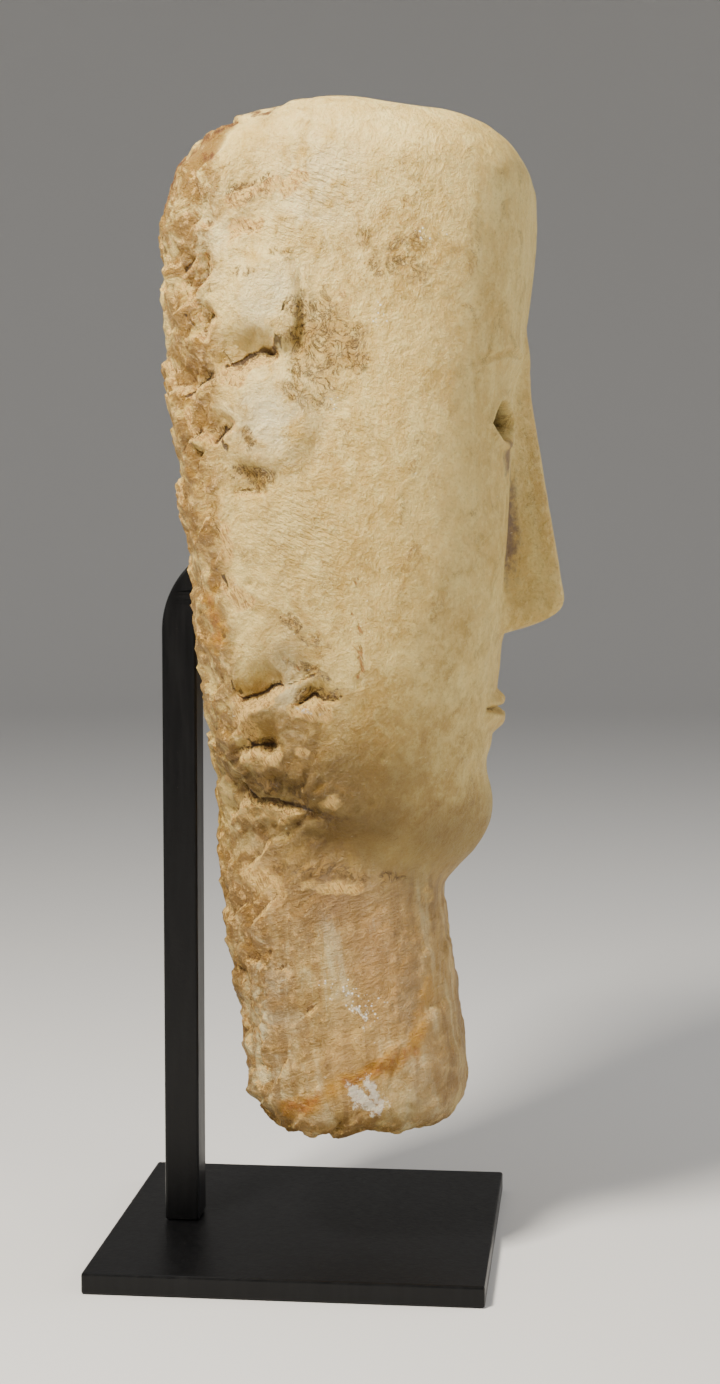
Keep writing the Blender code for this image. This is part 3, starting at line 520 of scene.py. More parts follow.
def meridian(count):
    """Reach from the axis (0 to 1) and share up of each ring, evenly spaced from bottom to crown."""
    quarter = np.linspace(0.0, math.pi / 2, ROUND_STEPS)
    reach = np.concatenate([[0.0], 1 - BOTTOM_ROUND_REACH * (1 - np.sin(quarter)),
                            1 - CROWN_ROUND_REACH * (1 - np.cos(quarter)), [0.0]])
    up = np.concatenate([[0.0], BOTTOM_ROUND * (1 - np.cos(quarter)),
                         1 - CROWN_ROUND * (1 - np.sin(quarter)), [1.0]])
    length = np.concatenate([[0.0], np.cumsum(np.hypot(np.diff(reach) * MEAN_RADIUS, np.diff(up)))])
    places = np.linspace(0.0, length[-1], count)
    return np.interp(places, length, reach), np.interp(places, length, up)


def column_angles(count):
    """Angles of the columns, evenly spaced along the outline at the brow, from -pi to pi."""
    angle = np.linspace(-math.pi, math.pi, OUTLINE_STEPS)
    radius = body_radius(angle, np.full_like(angle, BROW))
    outline = np.stack([radius * np.sin(angle), radius * np.cos(angle)])
    length = np.concatenate([[0.0], np.cumsum(np.hypot(*np.diff(outline)))])
    return np.interp(np.linspace(0.0, length[-1], count, endpoint=False), length, angle)


def humps(places, ahead, height):
    """Sum of the soft humps and hollows at these places."""
    total = np.zeros(np.shape(ahead))
    for place, up, width, reach, rise in places:
        total += rise * swell(ahead - place, width) * swell(height - up * HEAD_HEIGHT, reach)
    return total


def eye_relief(across, height):
    """Almond socket, emptied of its inlay, with its lids and the line of the brow."""
    from_middle = np.abs(across - EYE_LENGTH)
    above = height - EYE_LINE * HEAD_HEIGHT
    taper = 1 - np.minimum(2 * from_middle / EYE_LENGTH, EYE_OUTSIDE) ** EYE_CURVE
    inside = np.minimum(EYE_ABOVE * taper - above, above + EYE_BELOW * taper)
    socket = -EYE_SOCKET_DEPTH * share_between(0.0, EYE_EDGE, inside)
    lid_ends = share_between(EYE_LENGTH / 2 + LID_END, EYE_LENGTH / 2, from_middle)
    lids = LID_HEIGHT * swell(inside + LID_WIDTH, LID_WIDTH) * lid_ends
    from_arch = (across - BROW_MIDDLE) / BROW_HALF
    above_brow = height - BROW * HEAD_HEIGHT - BROW_ARCH * (1 - from_arch ** 2)
    brow_ends = share_between(*BROW_FADE, np.abs(from_arch))
    brow = BROW_HEIGHT * swell(above_brow, BROW_WIDTH) - BROW_LINE_DEPTH * swell(above_brow, BROW_LINE_WIDTH)
    return socket + lids + brow * brow_ends


def nose_relief(across, height):
    """Long straight nose with flat sides and a rounded tip."""
    base = NOSE_BASE * HEAD_HEIGHT
    root = BROW * HEAD_HEIGHT
    down = np.clip((root - height) / (root - base), 0.0, 1.0)
    projection = NOSE_PROJECTION * (NOSE_ROOT_SHARE + (1 - NOSE_ROOT_SHARE) * down)
    ridge = NOSE_RIDGE[0] + (NOSE_RIDGE[1] - NOSE_RIDGE[0]) * down
    foot = NOSE_FOOT[0] + (NOSE_FOOT[1] - NOSE_FOOT[0]) * down ** NOSE_FLARE
    flank = np.clip((foot - across) / (foot - ridge), 0.0, 1.0)
    flank += NOSE_ROUND * (share_between(0.0, 1.0, flank) - flank)
    above_base = np.clip((height - base + NOSE_UNDERSIDE) / NOSE_TIP, 0.0, 1.0)
    tip = 1 - (1 - above_base) ** NOSE_TIP_CURVE
    return projection * flank * tip * share_between(root + NOSE_ROOT_FADE, root, height)


def lip(above, side, shape):
    """One lip, from the seam outwards."""
    stand, full, end = shape
    return stand * share_between(0.0, LIP_EDGE, above) * share_between(end, full, above + LIP_TAPER * side)


def mouth_relief(across, height):
    """Small closed mouth."""
    side = np.clip(across / MOUTH_HALF, 0.0, 1.0)
    fullness = np.sqrt(1 - side ** 2)
    above = height - MOUTH * HEAD_HEIGHT - MOUTH_RISE * side ** 2
    lips = lip(above, side, UPPER_LIP) + lip(-above, side, LOWER_LIP)
    seam = -LIP_SEAM_DEPTH * swell(above, LIP_SEAM_WIDTH) * share_between(*LIP_SEAM_FADE, fullness)
    return lips * fullness + seam


def face_relief(x, height):
    """How far the face stands forward of the head's plain front."""
    across = np.abs(x)
    features = eye_relief(across, height) + nose_relief(across, height) + mouth_relief(across, height)
    return features + humps(FACE_HUMPS, across, height)


def ear_relief(forward, height):
    """Worn ear: two low flat lobes off the side of the head, the upper one with a crease along its front."""
    lobes = np.zeros(np.shape(forward))
    for place, up, half_width, half_height, rise in EAR_LOBES:
        from_middle = np.hypot((forward - place) / half_width, (height - up * HEAD_HEIGHT) / half_height)
        lobes = np.maximum(lobes, rise * share_between(*EAR_EDGE, from_middle))
    above = height - EAR_CREASE[1] * HEAD_HEIGHT
    bend = EAR_CREASE_BEND * (above / (2 * EAR_CREASE_HEIGHT)) ** 2
    crease = swell(forward - EAR_CREASE[0] + bend, EAR_CREASE_WIDTH) * swell(above, EAR_CREASE_HEIGHT)
    return lobes - EAR_CREASE_DEPTH * crease


def ledges_at(forward, height):
    """For each ledge: how far each point is above it, its share along the ledge, and the cut above it."""
    for start_forward, start_up, end_forward, end_up, cut in LEDGES:
        run = end_forward - start_forward
        rise = (end_up - start_up) * HEAD_HEIGHT
        length = math.hypot(run, rise)
        ahead = forward - start_forward
        above = height - start_up * HEAD_HEIGHT
        along = (ahead * run + above * rise) / length
        across = (above * run - ahead * rise) / length
        from_middle = np.abs(along - length / 2)
        yield across, share_between(length / 2 + LEDGE_END, length / 2 - LEDGE_END, from_middle), cut


def ledge_relief(forward, height):
    """Cuts that go deeper downwards and end at a slanted ledge of rough stone."""
    depth = np.zeros(np.shape(forward))
    for across, along, cut in ledges_at(forward, height):
        slope = share_between(-LEDGE_SLOPE * cut, 0.0, across) * share_between(LEDGE_CUT, 0.0, across)
        depth = np.minimum(depth, -cut * slope * along)
    return depth


def roughness_share(angle, forward, up, reach):
    """Where the stone was left rough: back, back of the sides, neck, crown's back edge and broken end."""
    turned = np.abs(angle)
    start = np.where(angle < 0, *ROUGH_START)
    back = share_between(start, start + ROUGH_FADE, turned)
    side = SIDE_ROUGH * share_between(*SIDE_TURN, turned)
    low_side = LOW_SIDE_ROUGH * share_between(*LOW_SIDE_TURN, turned) * share_between(*LOW_SIDE_UP, up)
    neck = NECK_ROUGH * share_between(*NECK_UP, up)
    crown = CROWN_ROUGH * share_between(*CROWN_UP, up) * share_between(*CROWN_BACK, forward / HEAD_HEIGHT)
    broken_end = share_between(*END_UP, up)
    around = share_between(*ROUGH_REACH, reach) * np.maximum.reduce([back, side, low_side, neck])
    return np.maximum.reduce([around, crown, broken_end])


def in_patches(places, forward, up):
    """Share of each point inside any of the places, which are short strips that fade outwards."""
    share = np.zeros(forward.shape)
    for start_forward, start_up, end_forward, end_up, reach, strength in places:
        run = end_forward - start_forward
        rise = (end_up - start_up) * HEAD_HEIGHT
        ahead = forward - start_forward
        above = (up - start_up) * HEAD_HEIGHT
        along = np.clip((ahead * run + above * rise) / (run * run + rise * rise), 0.0, 1.0)
        distance = np.hypot(ahead - along * run, above - along * rise)
        share = np.maximum(share, strength * swell(distance, reach))
    return share


def smoothed(values, steps):
    """Values of the grid averaged over this many steps each way."""
    total = values.copy()
    for step in range(1, steps + 1):
        total += np.roll(values, step, axis=1) + np.roll(values, -step, axis=1)
    total /= 2 * steps + 1
    padded = np.pad(total, ((steps, steps), (0, 0)), mode="edge")
    sums = np.cumsum(np.concatenate([np.zeros((1, padded.shape[1])), padded]), axis=0)
    return (sums[2 * steps + 1:] - sums[:-2 * steps - 1]) / (2 * steps + 1)


def pit_relief(forward, up, right_side):
    """Small round pits, the named ones and a scatter of tiny ones."""
    random = np.random.default_rng(PIT_SEED)
    depth = np.zeros(forward.shape)
    for place_forward, place_up, reach, deep in PITS:
        distance = np.hypot(forward - place_forward, (up - place_up) * HEAD_HEIGHT)
        depth -= deep * swell(distance, reach) * right_side
    for number in range(RANDOM_PITS):
        place_forward = random.uniform(*PIT_FORWARD)
        place_up = random.uniform(*PIT_UP)
        reach = random.uniform(*PIT_REACH)
        side = right_side if number % 2 else 1 - right_side
        distance = np.hypot(forward - place_forward, (up - place_up) * HEAD_HEIGHT)
        depth -= PIT_SLOPE * reach * swell(distance, reach) * side
    return depth


def head_surface(rings, columns):
    """Points of the carved surface in world coordinates, and the share of each finish at each point."""
    reach, up = meridian(rings)
    angle = np.broadcast_to(column_angles(columns), (rings, columns))
    reach, up = (np.broadcast_to(values[:, None], (rings, columns)) for values in (reach, up))
    radius = body_radius(angle, up) * HEAD_HEIGHT * reach
    x = radius * np.sin(angle)
    forward = radius * np.cos(angle)
    drop = line_through(CROWN_DROP, forward / HEAD_HEIGHT) + CROWN_SIDE_DROP * (x / HEAD_HEIGHT) ** 2
    drop = drop * share_between(*CROWN_FALL, up)
    height = (up - drop) * HEAD_HEIGHT
    plain = np.stack([x, -forward, height], axis=-1)

    along = np.roll(plain, -1, axis=1) - np.roll(plain, 1, axis=1)
    upwards = np.gradient(plain, axis=0)
    normal = np.cross(along, upwards)
    normal[0] = (0.0, 0.0, -1.0)
    normal[-1] = (0.0, 0.0, 1.0)
    normal /= np.linalg.norm(normal, axis=-1, keepdims=True)

    upright = share_between(*UPRIGHT, reach)
    right_half = share_between(0.0, -RIGHT_SIDE, x)
    right_side = right_half * upright
    warp = np.stack([soft_noise(plain, WARP_SIZE, seed) for seed in WARP_SEEDS], axis=-1)
    warped = plain + WARP_REACH * warp
    ledge_place = (-warped[..., 1], warped[..., 2])
    rough = roughness_share(angle, forward, up, reach)
    marks = MARK_DEPTH * rough * (MARK_LEVEL + tool_marks(plain, MARK_SPACING, MARK_SEED))
    fine = FINE_MARK_DEPTH * rough * (MARK_LEVEL + tool_marks(warped, FINE_MARK_SPACING, FINE_MARK_SEED))
    depth = marks + fine + right_side * ledge_relief(*ledge_place)
    depth += LUMP_HEIGHT * rough * soft_noise(plain, LUMP_SIZE, LUMP_SEED)
    depth += WAVE_HEIGHT * soft_noise(plain, WAVE_SIZE, WAVE_SEED)
    depth += sum(rise * soft_noise(plain, size, seed) for size, rise, seed in SWELLS) * (SWELL_LEVEL + rough)

    steps = (np.linalg.norm(along, axis=-1), np.linalg.norm(upwards, axis=-1))
    changes = (np.roll(depth, -1, axis=1) - np.roll(depth, 1, axis=1), np.gradient(depth, axis=0))
    slope = np.hypot(*(change / np.maximum(step, 1e-5) for change, step in zip(changes, steps)))
    shelf, crevice = ledge_marks(*ledge_place)
    crevice = crevice * share_between(*CREVICE_BREAKS, warp[..., 0])
    broken = np.maximum(share_between(*BROKEN_SLOPE, smoothed(slope, 1)), shelf * right_side)
    crumbs = soft_noise(plain, CRUMB_SIZE, CRUMB_SEEDS[0])
    crumbs += FINE_CRUMBS * soft_noise(plain, CRUMB_SIZE / 2, CRUMB_SEEDS[1])
    depth += CRUMB_HEIGHT * smoothed(broken, 2) * crumbs
    rasped = in_clouds(RASPED, forward, up) * upright
    neck = share_between(*NECK_RIPPLES, height / HEAD_HEIGHT)
    depth += RIPPLE_HEIGHT * soft_noise(plain, RIPPLE_SIZE, RIPPLE_SEED) * np.maximum(rasped, neck)
    depth += pit_relief(forward, height / HEAD_HEIGHT, right_side)
    depth -= CREVICE_WIDTH * crevice * right_side

    face = share_between(*FACE_FADE, np.cos(angle)) * upright
    features = face * face_relief(x, height)
    carved = plain + normal * depth[..., None]
    carved[..., 1] -= features
    ear = share_between(*EAR_FADE, np.abs(np.sin(angle))) * upright * ear_relief(forward, height)
    carved[..., 0] += np.sign(x) * ear
    relief = depth + FACE_CAVITY * features + ear
    bent = plain + STAIN_WARP * warp
    place = (-bent[..., 1], bent[..., 2] / HEAD_HEIGHT)
    empty_eye = -eye_relief(np.abs(x), height) / EYE_SOCKET_DEPTH
    shares = {
        "hollow": share_between(*CAVITY, smoothed(relief, CAVITY_STEPS) - relief),
        "crevice": crevice * right_side,
        "crack_and_shade_line": in_patches(CRACKS_AND_SHADE_LINES, ledge_place[0], ledge_place[1] / HEAD_HEIGHT) * right_side,
        "broken": smoothed(broken, 1),
        "deep_cut_shade": share_between(*SCOOPED, -depth),
        "rough": rough,
        "rasped": rasped,
        "neck": neck,
        "rim": in_patches(RIM, *place) * right_half,
        "socket": share_between(*SOCKET_DARKENING, empty_eye) * face,
        "patina": in_clouds(PATINA, np.abs(x), height / HEAD_HEIGHT) * face,
    }
    for name, places in PATCHES.items():
        shares[name] = in_patches(places, *place) * right_side
    for name, places in CLOUDS.items():
        shares[name] = in_clouds(places, *place) * upright
    return carved + np.array((0.0, HEAD_AXIS_Y, HEAD_BOTTOM)), shares


def in_clouds(places, forward, up):
    """Share of each point in any of the broad soft tones."""
    share = np.zeros(forward.shape)
    for place, place_up, width, height, strength in places:
        cloud = strength * swell(forward - place, width) * swell((up - place_up) * HEAD_HEIGHT, height)
        share = np.maximum(share, cloud)
    return share


def ledge_marks(forward, height):
    """Shares of the rough shelf and of the thin dark crevice of every ledge."""
    shelf = np.zeros(forward.shape)
    crevice = np.zeros(forward.shape)
    for across, along, cut in ledges_at(forward, height):
        step = LEDGE_SLOPE * cut
        below = share_between(*(share * step for share in SHELF_END), across)
        shelf = np.maximum(shelf, below * share_between(0.0, SHELF_START * step, across) * along)
        line = swell(across - CREVICE_WIDTH / 2, CREVICE_WIDTH)
        crevice = np.maximum(crevice, line * along * share_between(*CREVICE_CUT, cut))
    return shelf, crevice


def round_mesh(name, surface):
    """Closed mesh over rings and columns of points, whose first and last rings are single points."""
    rings, columns = surface.shape[:2]
    points = np.concatenate([surface[:1, 0], surface[1:-1].reshape(-1, 3), surface[-1:, 0]])
    number = 1 + np.arange((rings - 2) * columns).reshape(rings - 2, columns)
    ahead = np.roll(number, -1, axis=1)
    quads = np.stack([number[:-1], ahead[:-1], ahead[1:], number[1:]], axis=-1).reshape(-1, 4)
    below = np.stack([ahead[0], number[0], np.zeros(columns, int)], axis=-1)
    above = np.stack([number[-1], ahead[-1], np.full(columns, len(points) - 1)], axis=-1)
    corners = np.concatenate([below.ravel(), above.ravel(), quads.ravel()])
    sizes = np.concatenate([np.full(2 * columns, 3), np.full(len(quads), 4)])
    mesh = bpy.data.meshes.new(name)
    mesh.vertices.add(len(points))
    mesh.vertices.foreach_set("co", points.astype(np.float32).ravel())
    mesh.loops.add(len(corners))
    mesh.loops.foreach_set("vertex_index", corners.astype(np.int32))
    mesh.polygons.add(len(sizes))
    mesh.polygons.foreach_set("loop_start", np.concatenate([[0], np.cumsum(sizes)[:-1]]).astype(np.int32))
    mesh.update(calc_edges=True)
    return mesh, points


def add_object(name, data, finish=None):
    """Object of the mesh in the scene, with its finish."""
    added = bpy.data.objects.new(name, data)
    bpy.context.scene.collection.objects.link(added)
    if finish:
        data.materials.append(finish)
    return added


def evaluated_mesh(piece, name):
    """Mesh of the piece with its modifiers applied."""
    graph = bpy.context.evaluated_depsgraph_get()
    mesh = bpy.data.meshes.new_from_object(piece.evaluated_get(graph))
    mesh.name = name
    return mesh


def bar_outline(grow, foot):
    """Side outline of the bar in the y-z plane, widened by grow on every side, from its foot to its tip."""
    socket_back = body_radius(np.array(math.pi), np.array(SOCKET_UP)) * HEAD_HEIGHT
    entry = np.array((HEAD_AXIS_Y + float(socket_back), HEAD_BOTTOM + SOCKET_UP * HEAD_HEIGHT))
    direction = np.array((-math.sin(BEND_ANGLE), math.cos(BEND_ANGLE)))
    bend_end = entry + direction * BEND_IN_HEAD
    tip = entry + direction * (BAR_IN_HEAD + grow)
    centre = bend_end + BEND_RADIUS * np.array((-math.cos(BEND_ANGLE), -math.sin(BEND_ANGLE)))
    half = BAR_DEPTH / 2 + grow
    square = np.array((-direction[1], direction[0]))
    turns = np.linspace(0.0, BEND_ANGLE, BEND_STEPS + 1)
    spokes = np.stack([np.cos(turns), np.sin(turns)], axis=-1)
    outer = centre + (BEND_RADIUS + half) * spokes
    inner = centre + (BEND_RADIUS - half) * spokes
    return [(outer[0][0], foot), *outer, tip - square * half, tip + square * half, *inner[::-1],
            (inner[0][0], foot)]


def bar_mesh(name, grow, foot):
    """Square bar, or the cutter of its socket, as an extruded side outline."""
    half = BAR_WIDTH / 2 + grow
    shape = bmesh.new()
    side = shape.faces.new([shape.verts.new((-half, y, z)) for y, z in bar_outline(grow, foot)])
    moved = bmesh.ops.extrude_face_region(shape, geom=[side], use_keep_orig=True)["geom"]
    corners = [part for part in moved if isinstance(part, bmesh.types.BMVert)]
    bmesh.ops.translate(shape, vec=(2 * half, 0.0, 0.0), verts=corners)
    bmesh.ops.recalc_face_normals(shape, faces=shape.faces)
    mesh = bpy.data.meshes.new(name)
    shape.to_mesh(mesh)
    shape.free()
    return mesh


def make_head(finish):
    """The carved head: a fine surface, thinned where it is plain, with the bar's socket cut in its back."""
    surface, shares = head_surface(RINGS, COLUMNS)
    mesh, points = round_mesh("carving", surface)
    draft = add_object("carving", mesh)
    thin = draft.modifiers.new("Thin", "DECIMATE")
    thin.ratio = HEAD_TRIANGLES / (2 * COLUMNS * (RINGS - 2))
    foot = HEAD_BOTTOM + HEAD_HEIGHT * SOCKET_UP / 2
    cutter = add_object("socket_cutter", bar_mesh("socket_cutter", SOCKET_GAP, foot))
    cut = draft.modifiers.new("Socket", "BOOLEAN")
    cut.operation = "DIFFERENCE"
    cut.object = cutter
    carved = evaluated_mesh(draft, "alabaster_head")
    bpy.data.objects.remove(draft)
    bpy.data.objects.remove(cutter)
    carved.shade_smooth()
    give_shares(carved, points, shares)
    head = add_object("alabaster_head", carved, finish)
    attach(head, "root")
    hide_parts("head")


def give_shares(mesh, points, shares):
    """Writes each finish's share to the mesh, from the nearest point of the fine surface."""
    tree = kdtree.KDTree(len(points))
    for number, point in enumerate(points):
        tree.insert(point, number)
    tree.balance()
    nearest = np.array([tree.find(vertex.co)[1] for vertex in mesh.vertices])
    for name, share in shares.items():
        values = np.concatenate([share[:1, 0], share[1:-1].ravel(), share[-1:, 0]])[nearest]
        mesh.attributes.new(name, "FLOAT", "POINT").data.foreach_set("value", values.astype(np.float32))


class Finish:
    """Nodes of one material."""

    def __init__(self, name):
        self.material = bpy.data.materials.new(name)
        self.material.use_nodes = True
        self.tree = self.material.node_tree
        self.shader = self.tree.nodes["Principled BSDF"]
        self.place = self.add("ShaderNodeTexCoord").outputs["Object"]

    def add(self, kind, inputs=None, **settings):
        """New node with its settings, and its inputs set to values or linked to sockets."""
        node = self.tree.nodes.new(kind)
        for name, value in settings.items():
            setattr(node, name, value)
        for key, value in (inputs or {}).items():
            if isinstance(value, bpy.types.NodeSocket):
                self.tree.links.new(value, node.inputs[key])
            else:
                node.inputs[key].default_value = value
        return node

    def share(self, name):
        """A finish's share, as the mesh holds it."""
        node = self.add("ShaderNodeAttribute", attribute_type="GEOMETRY", attribute_name=name)
        return node.outputs["Fac"]

    def calc(self, operation, result, *values):
        for value in values:
            result = self.add("ShaderNodeMath", {0: result, 1: value}, operation=operation).outputs[0]
        return result

    def fade(self, value, low, high):
        """Smooth share from 0 at low to 1 at high."""
        inputs = {"Value": value, "From Min": low, "From Max": high}
        node = self.add("ShaderNodeMapRange", inputs, interpolation_type="SMOOTHSTEP")
        return node.outputs["Result"]

    def stretched(self, size, turn=(0.0, 0.0, 0.0)):
        """Place measured in steps of this size along each axis, after a turn."""
        turned = self.add("ShaderNodeVectorRotate", {"Vector": self.place, "Rotation": turn},
                          rotation_type="EULER_XYZ").outputs[0]
        steps = tuple(1 / length for length in size)
        return self.add("ShaderNodeVectorMath", {0: turned, 1: steps}, operation="MULTIPLY").outputs[0]

    def noise(self, size, detail=4.0, roughness=0.6, turn=(0.0, 0.0, 0.0), bend=0.0):
        """Cloudy noise from 0 to 1 with features of this size."""
        if isinstance(size, float):
            size = (size, size, size)
        inputs = {"Vector": self.stretched(size, turn), "Scale": 1.0, "Detail": detail,
                  "Roughness": roughness, "Distortion": bend}
        return self.add("ShaderNodeTexNoise", inputs).outputs["Fac"]

    def mix(self, share, below, above):
        inputs = {0: share, 6: below, 7: above}
        return self.add("ShaderNodeMix", inputs, data_type="RGBA").outputs[2]

    def scatter(self, share, noise, cover, soft=0.10):
        """Patches that thin out to scattered spots where the share falls, as the noise breaks them up."""
        spread = self.add("ShaderNodeMath", {0: share, 1: cover, 2: noise}, operation="MULTIPLY_ADD")
        return self.fade(spread.outputs[0], 1.0, 1.0 + soft)

    def product(self, *values):
        return self.calc("MULTIPLY", *values)

    def total(self, *terms):
        """Sum of pairs of a value and its weight."""
        result = 0.0
        for value, weight in terms:
            inputs = {0: value, 1: weight, 2: result}
            result = self.add("ShaderNodeMath", inputs, operation="MULTIPLY_ADD").outputs[0]
        return result

    def bump(self, height, distance, strength=1.0):
        """Normal of the surface raised by the height, in steps of the distance."""
        inputs = {"Height": height, "Strength": strength, "Distance": distance}
        return self.add("ShaderNodeBump", inputs).outputs["Normal"]

    def between(self, value, low, high, start=0.0):
        """Value from start to 1, brought to the range from low to high."""
        inputs = {"Value": value, "From Min": start, "To Min": low, "To Max": high}
        return self.add("ShaderNodeMapRange", inputs).outputs["Result"]

    def set(self, **values):
        for name, value in values.items():
            socket = self.shader.inputs[name.replace("_", " ")]
            if isinstance(value, bpy.types.NodeSocket):
                self.tree.links.new(value, socket)
            else:
                socket.default_value = value


def alabaster():
    """Translucent honey-cream stone with veins, brown crusts, raw peach breaks, rust and chalk."""
    finish = Finish("alabaster")
    calc, fade, noise = finish.calc, finish.fade, finish.noise
    product, scatter = finish.product, finish.scatter
    clouds = noise(0.036, 4.0, 0.6)
    veins = noise((0.007, 0.007, 0.060), 5.0, 0.6, (0.10, 0.05, 0.0), 0.6)
    mottle = noise(0.0075, 6.0, 0.65, bend=0.6)
    cells = noise(0.0030, 5.0, 0.72)
    grain = noise(0.0009, 4.0, 0.75)
    fibres = noise((0.0009, 0.0009, 0.0040), 4.0, 0.7, (0.5, 0.2, 0.0), 0.8)
    dashes = noise((0.0040, 0.0040, 0.0010), 3.0, 0.6, (0.30, 0.0, 0.0), 0.5)
    contour = calc("SUBTRACT", noise(0.0044, 6.0, 0.72, bend=1.2), 0.5)
    lines = fade(calc("ABSOLUTE", contour, 0.0), 0.034, 0.004)

    (hollow, crevice, crack_and_shade_line, broken, deep_cut_shade, rough, rasped, neck, rim, socket, patina,
     crust, raw, rust, chalk, crystal, seam,
     honey_and_jaw_shade, gold, mauve, peach, pale) = (finish.share(name) for name in SHARES)
    raw_stone = calc("MAXIMUM", scatter(raw, mottle, 0.94, 0.24), scatter(broken, cells, 0.80, 0.16))
    brown_lines = product(lines, scatter(crust, mottle, 1.05, 0.24))
    brown_dashes = scatter(crust, dashes, 0.52, 0.12)
    # Brown in the hollows: dirt, and painted shade in the recesses
    hollow_dirt_and_shade = scatter(hollow, fibres, 0.62, 0.18)
    # Thin dark lines in crevices and cracks: dirt, and painted shade in the creases
    deep = calc("MAXIMUM", scatter(crevice, cells, 0.96, 0.24), scatter(crack_and_shade_line, mottle, 0.90, 0.24))
    white_flecks = fade(dashes, 0.70, 0.78)
    specks = fade(noise(0.0016, 3.0, 0.6), 0.76, 0.80)
    chalky = scatter(chalk, cells, 0.66, 0.10)
    rusty = scatter(rust, mottle, 1.10, 0.60)
    rust_core = scatter(rust, cells, 0.76, 0.36)
    crust_rim = scatter(rim, cells, 0.82, 0.30)
    seams = scatter(seam, fibres, 0.72, 0.14)
    grains = {"Vector": finish.stretched((0.0011, 0.0011, 0.0011)), "Scale": 1.0}
    sparkle = finish.add("ShaderNodeTexVoronoi", grains).outputs["Distance"]
    crystals = product(fade(sparkle, 0.34, 0.16), scatter(crystal, cells, 0.62))
    stray_lines = product(lines, fade(mottle, 0.54, 0.62), fade(veins, 0.46, 0.56))
    glints = product(fade(sparkle, 0.20, 0.10), fade(cells, 0.50, 0.60))

    colour = finish.mix(fade(clouds, 0.34, 0.66), tint(228, 200, 120), tint(206, 170, 86))
    layers = (
        (fade(veins, 0.44, 0.70), 0.45, (240, 220, 144)),
        (fade(mottle, 0.48, 0.66), 0.50, (184, 148, 60)),
        (product(gold, fade(mottle, 0.28, 0.60)), 0.90, (160, 120, 34)),
        (fade(cells, 0.46, 0.62), 0.35, (242, 222, 144)),
        (fade(grain, 0.50, 0.64), 0.35, (164, 128, 50)),
        (neck, 0.60, (172, 144, 88)),
        (product(pale, fade(mottle, 0.66, 0.42)), 0.72, (226, 214, 172)),
        (product(neck, fade(veins, 0.54, 0.40)), 0.70, (126, 92, 46)),
        (product(neck, fade(veins, 0.54, 0.64)), 0.60, (226, 212, 164)),
        (product(mauve, fade(veins, 0.30, 0.56)), 0.85, (118, 84, 56)),
        (product(peach, fade(veins, 0.30, 0.56)), 0.60, (204, 150, 72)),
        # Painted shade: darker brown where the cuts go deeper
        (deep_cut_shade, 0.20, (156, 120, 44)),
        (product(rough, fade(mottle, 0.38, 0.54)), 0.85, (134, 96, 28)),
        (product(rough, fade(cells, 0.54, 0.62)), 0.60, (236, 192, 118)),
        # Honey tone, with painted shade below the jaw
        (honey_and_jaw_shade, 0.92, (98, 70, 0)),
        (scatter(crust, mottle, 1.10, 0.60), 0.62, (164, 124, 48)),
        (raw_stone, 0.85, (250, 208, 122)),
        (product(raw_stone, fade(fibres, 0.48, 0.58)), 0.70, (158, 108, 44)),
        (rusty, 0.85, (186, 134, 8)),
        (rust_core, 0.85, (144, 84, 0)),
        (brown_lines, 0.85, (84, 56, 14)),
        (stray_lines, 0.60, (118, 82, 24)),
        (brown_dashes, 0.75, (84, 56, 16)),
        (seams, 0.75, (170, 108, 34)),
        (scatter(patina, cells, 0.95, 0.40), 0.85, (104, 76, 60)),
        (hollow_dirt_and_shade, 0.75, (86, 56, 16)),
        (deep, 0.86, (58, 34, 8)),
        (crust_rim, 0.45, (176, 122, 36)),
        (product(crust_rim, fade(cells, 0.42, 0.54)), 0.80, (96, 46, 16)),
        # The empty eyes, darker brown by their depth
        (socket, 0.85, (66, 42, 12)),
        (specks, 0.70, (92, 60, 18)),
        (white_flecks, 0.50, (252, 244, 206)),
        (chalky, 0.92, (244, 232, 208)),
        (crystals, 0.90, (252, 250, 238)),
    )
    for share, strength, tone in layers:
        colour = finish.mix(product(share, strength), colour, tint(*tone))

    rasp = noise((0.0030, 0.0030, 0.0009), 2.0, 0.5, (-0.42, 0.0, 0.0))
    rough_stone = calc("MAXIMUM", raw_stone, chalky, crust_rim)
    relief = finish.total((grain, 0.7), (cells, 1.3), (mottle, 1.8), (dashes, 0.15),
                          (product(rasp, rasped), 2.6), (product(dashes, neck), 1.0),
                          (product(rough_stone, fibres), 1.2), (product(rough_stone, grain), 2.4),
                          (brown_lines, -0.5), (seams, -0.8), (deep, -1.2),
                          (rough_stone, -2.0), (product(rough, mottle), 3.0),
                          (product(rough, cells), 2.4))
    dull = calc("MAXIMUM", rough_stone, hollow_dirt_and_shade, brown_dashes)
    sheen = finish.between(calc("SUBTRACT", dull, glints), 0.12, 0.80, -1.0)
    finish.set(Base_Color=colour, Roughness=sheen, Normal=finish.bump(relief, STONE_GRAIN), IOR=1.52,
               Subsurface_Weight=0.25, Subsurface_Radius=(1.0, 0.65, 0.35), Subsurface_Scale=0.0025)
    return finish.material


def black_paint():
    """Black satin paint on steel, with faint brush grain and a few dusty specks."""
    finish = Finish("black_paint")
    grain = finish.noise((0.0020, 0.0020, 0.0200), 4.0, 0.6)
    specks = finish.fade(finish.noise(0.0009, 3.0, 0.7), 0.74, 0.80)
    colour = finish.mix(finish.fade(grain, 0.35, 0.70), tint(5, 5, 6), tint(11, 11, 12))
    colour = finish.mix(finish.product(specks, 0.35), colour, tint(120, 116, 108))
    bump = finish.bump(finish.noise(0.0012, 2.0), PAINT_GRAIN, 0.25)
    finish.set(Base_Color=colour, Roughness=finish.between(grain, 0.28, 0.46), Normal=bump,
               Specular_IOR_Level=0.25)
    return finish.material


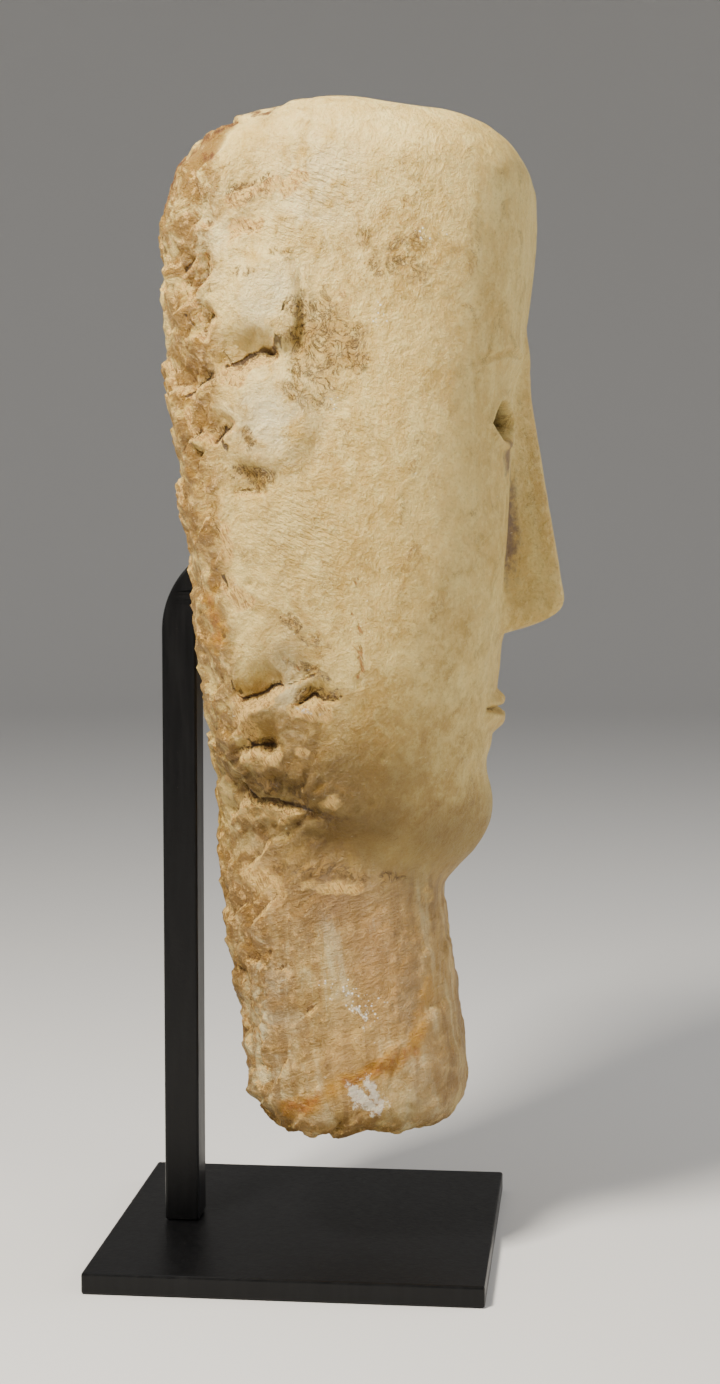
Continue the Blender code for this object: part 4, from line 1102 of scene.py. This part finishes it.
def even_finish(name, colour, roughness):
    """The same colour and roughness all over."""
    finish = Finish(name)
    finish.set(Base_Color=colour, Roughness=roughness)
    return finish.material


def make_floor():
    """Wide round floor that curves up into a wall all round."""
    bend_steps, round_steps = FLOOR_STEPS
    profile = [(reach, 0.0) for reach in FLOOR_RINGS]
    profile += [(FLOOR_FLAT + FLOOR_BEND * math.sin(turn), FLOOR_BEND * (1 - math.cos(turn)))
                for turn in np.linspace(0.0, math.pi / 2, bend_steps)]
    profile.append((FLOOR_FLAT + FLOOR_BEND, FLOOR_WALL))
    shape = bmesh.new()
    edge = [shape.verts.new((reach, 0.0, height)) for reach, height in profile]
    lines = [shape.edges.new(pair) for pair in zip(edge, edge[1:])]
    bmesh.ops.spin(shape, geom=edge + lines, axis=(0.0, 0.0, 1.0), cent=(0.0, 0.0, 0.0),
                   steps=round_steps, angle=2 * math.pi, use_merge=True)
    bmesh.ops.remove_doubles(shape, verts=shape.verts, dist=1e-5)
    bmesh.ops.recalc_face_normals(shape, faces=shape.faces)
    mesh = bpy.data.meshes.new("floor")
    shape.to_mesh(mesh)
    shape.free()
    mesh.shade_smooth()
    add_object("floor", mesh, even_finish("pale_floor", FLOOR_TONE, FLOOR_ROUGHNESS))


def add_light(name, place, power, width, height, colour):
    """Soft rectangular light aimed at the middle of the head."""
    light = bpy.data.lights.new(name, "AREA")
    light.shape = "RECTANGLE"
    light.size = width
    light.size_y = height
    light.energy = power
    light.color = colour
    lamp = bpy.data.objects.new(name, light)
    bpy.context.scene.collection.objects.link(lamp)
    target = Vector((0.0, HEAD_AXIS_Y, HEAD_BOTTOM + LIGHT_AIM_UP * HEAD_HEIGHT))
    lamp.location = place
    lamp.rotation_euler = (target - Vector(place)).to_track_quat("-Z", "Y").to_euler()


def make_lights():
    """Raking key light from behind and above, a softer one on the face's side, a rim light and a fill."""
    for light in LIGHTS:
        add_light(*light)
    world = bpy.data.worlds.new("studio")
    world.use_nodes = True
    sky = world.node_tree.nodes["Background"].inputs
    sky["Color"].default_value = SKY_TONE
    sky["Strength"].default_value = SKY_STRENGTH
    bpy.context.scene.world = world


def make_camera():
    """Camera at the photograph's place, looking at the head's right side."""
    data = bpy.data.cameras.new("camera")
    data.sensor_width = SENSOR * 1000
    data.lens = FOCAL_PIXELS / max(PHOTO_WIDTH, PHOTO_HEIGHT) * SENSOR * 1000
    data.clip_start = CAMERA_NEAR
    camera = bpy.data.objects.new("camera", data)
    bpy.context.scene.collection.objects.link(camera)
    camera.location = CAMERA_PLACE
    camera.rotation_euler = (math.pi / 2 - CAMERA_PITCH, 0.0, CAMERA_TURN - math.pi / 2)
    bpy.context.scene.camera = camera


make_camera()
make_head(alabaster())
paint = black_paint()
for node in ("stand_post", "stand_base"):
    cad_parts[node].data.materials.clear()
    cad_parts[node].data.materials.append(paint)
make_floor()
make_lights()
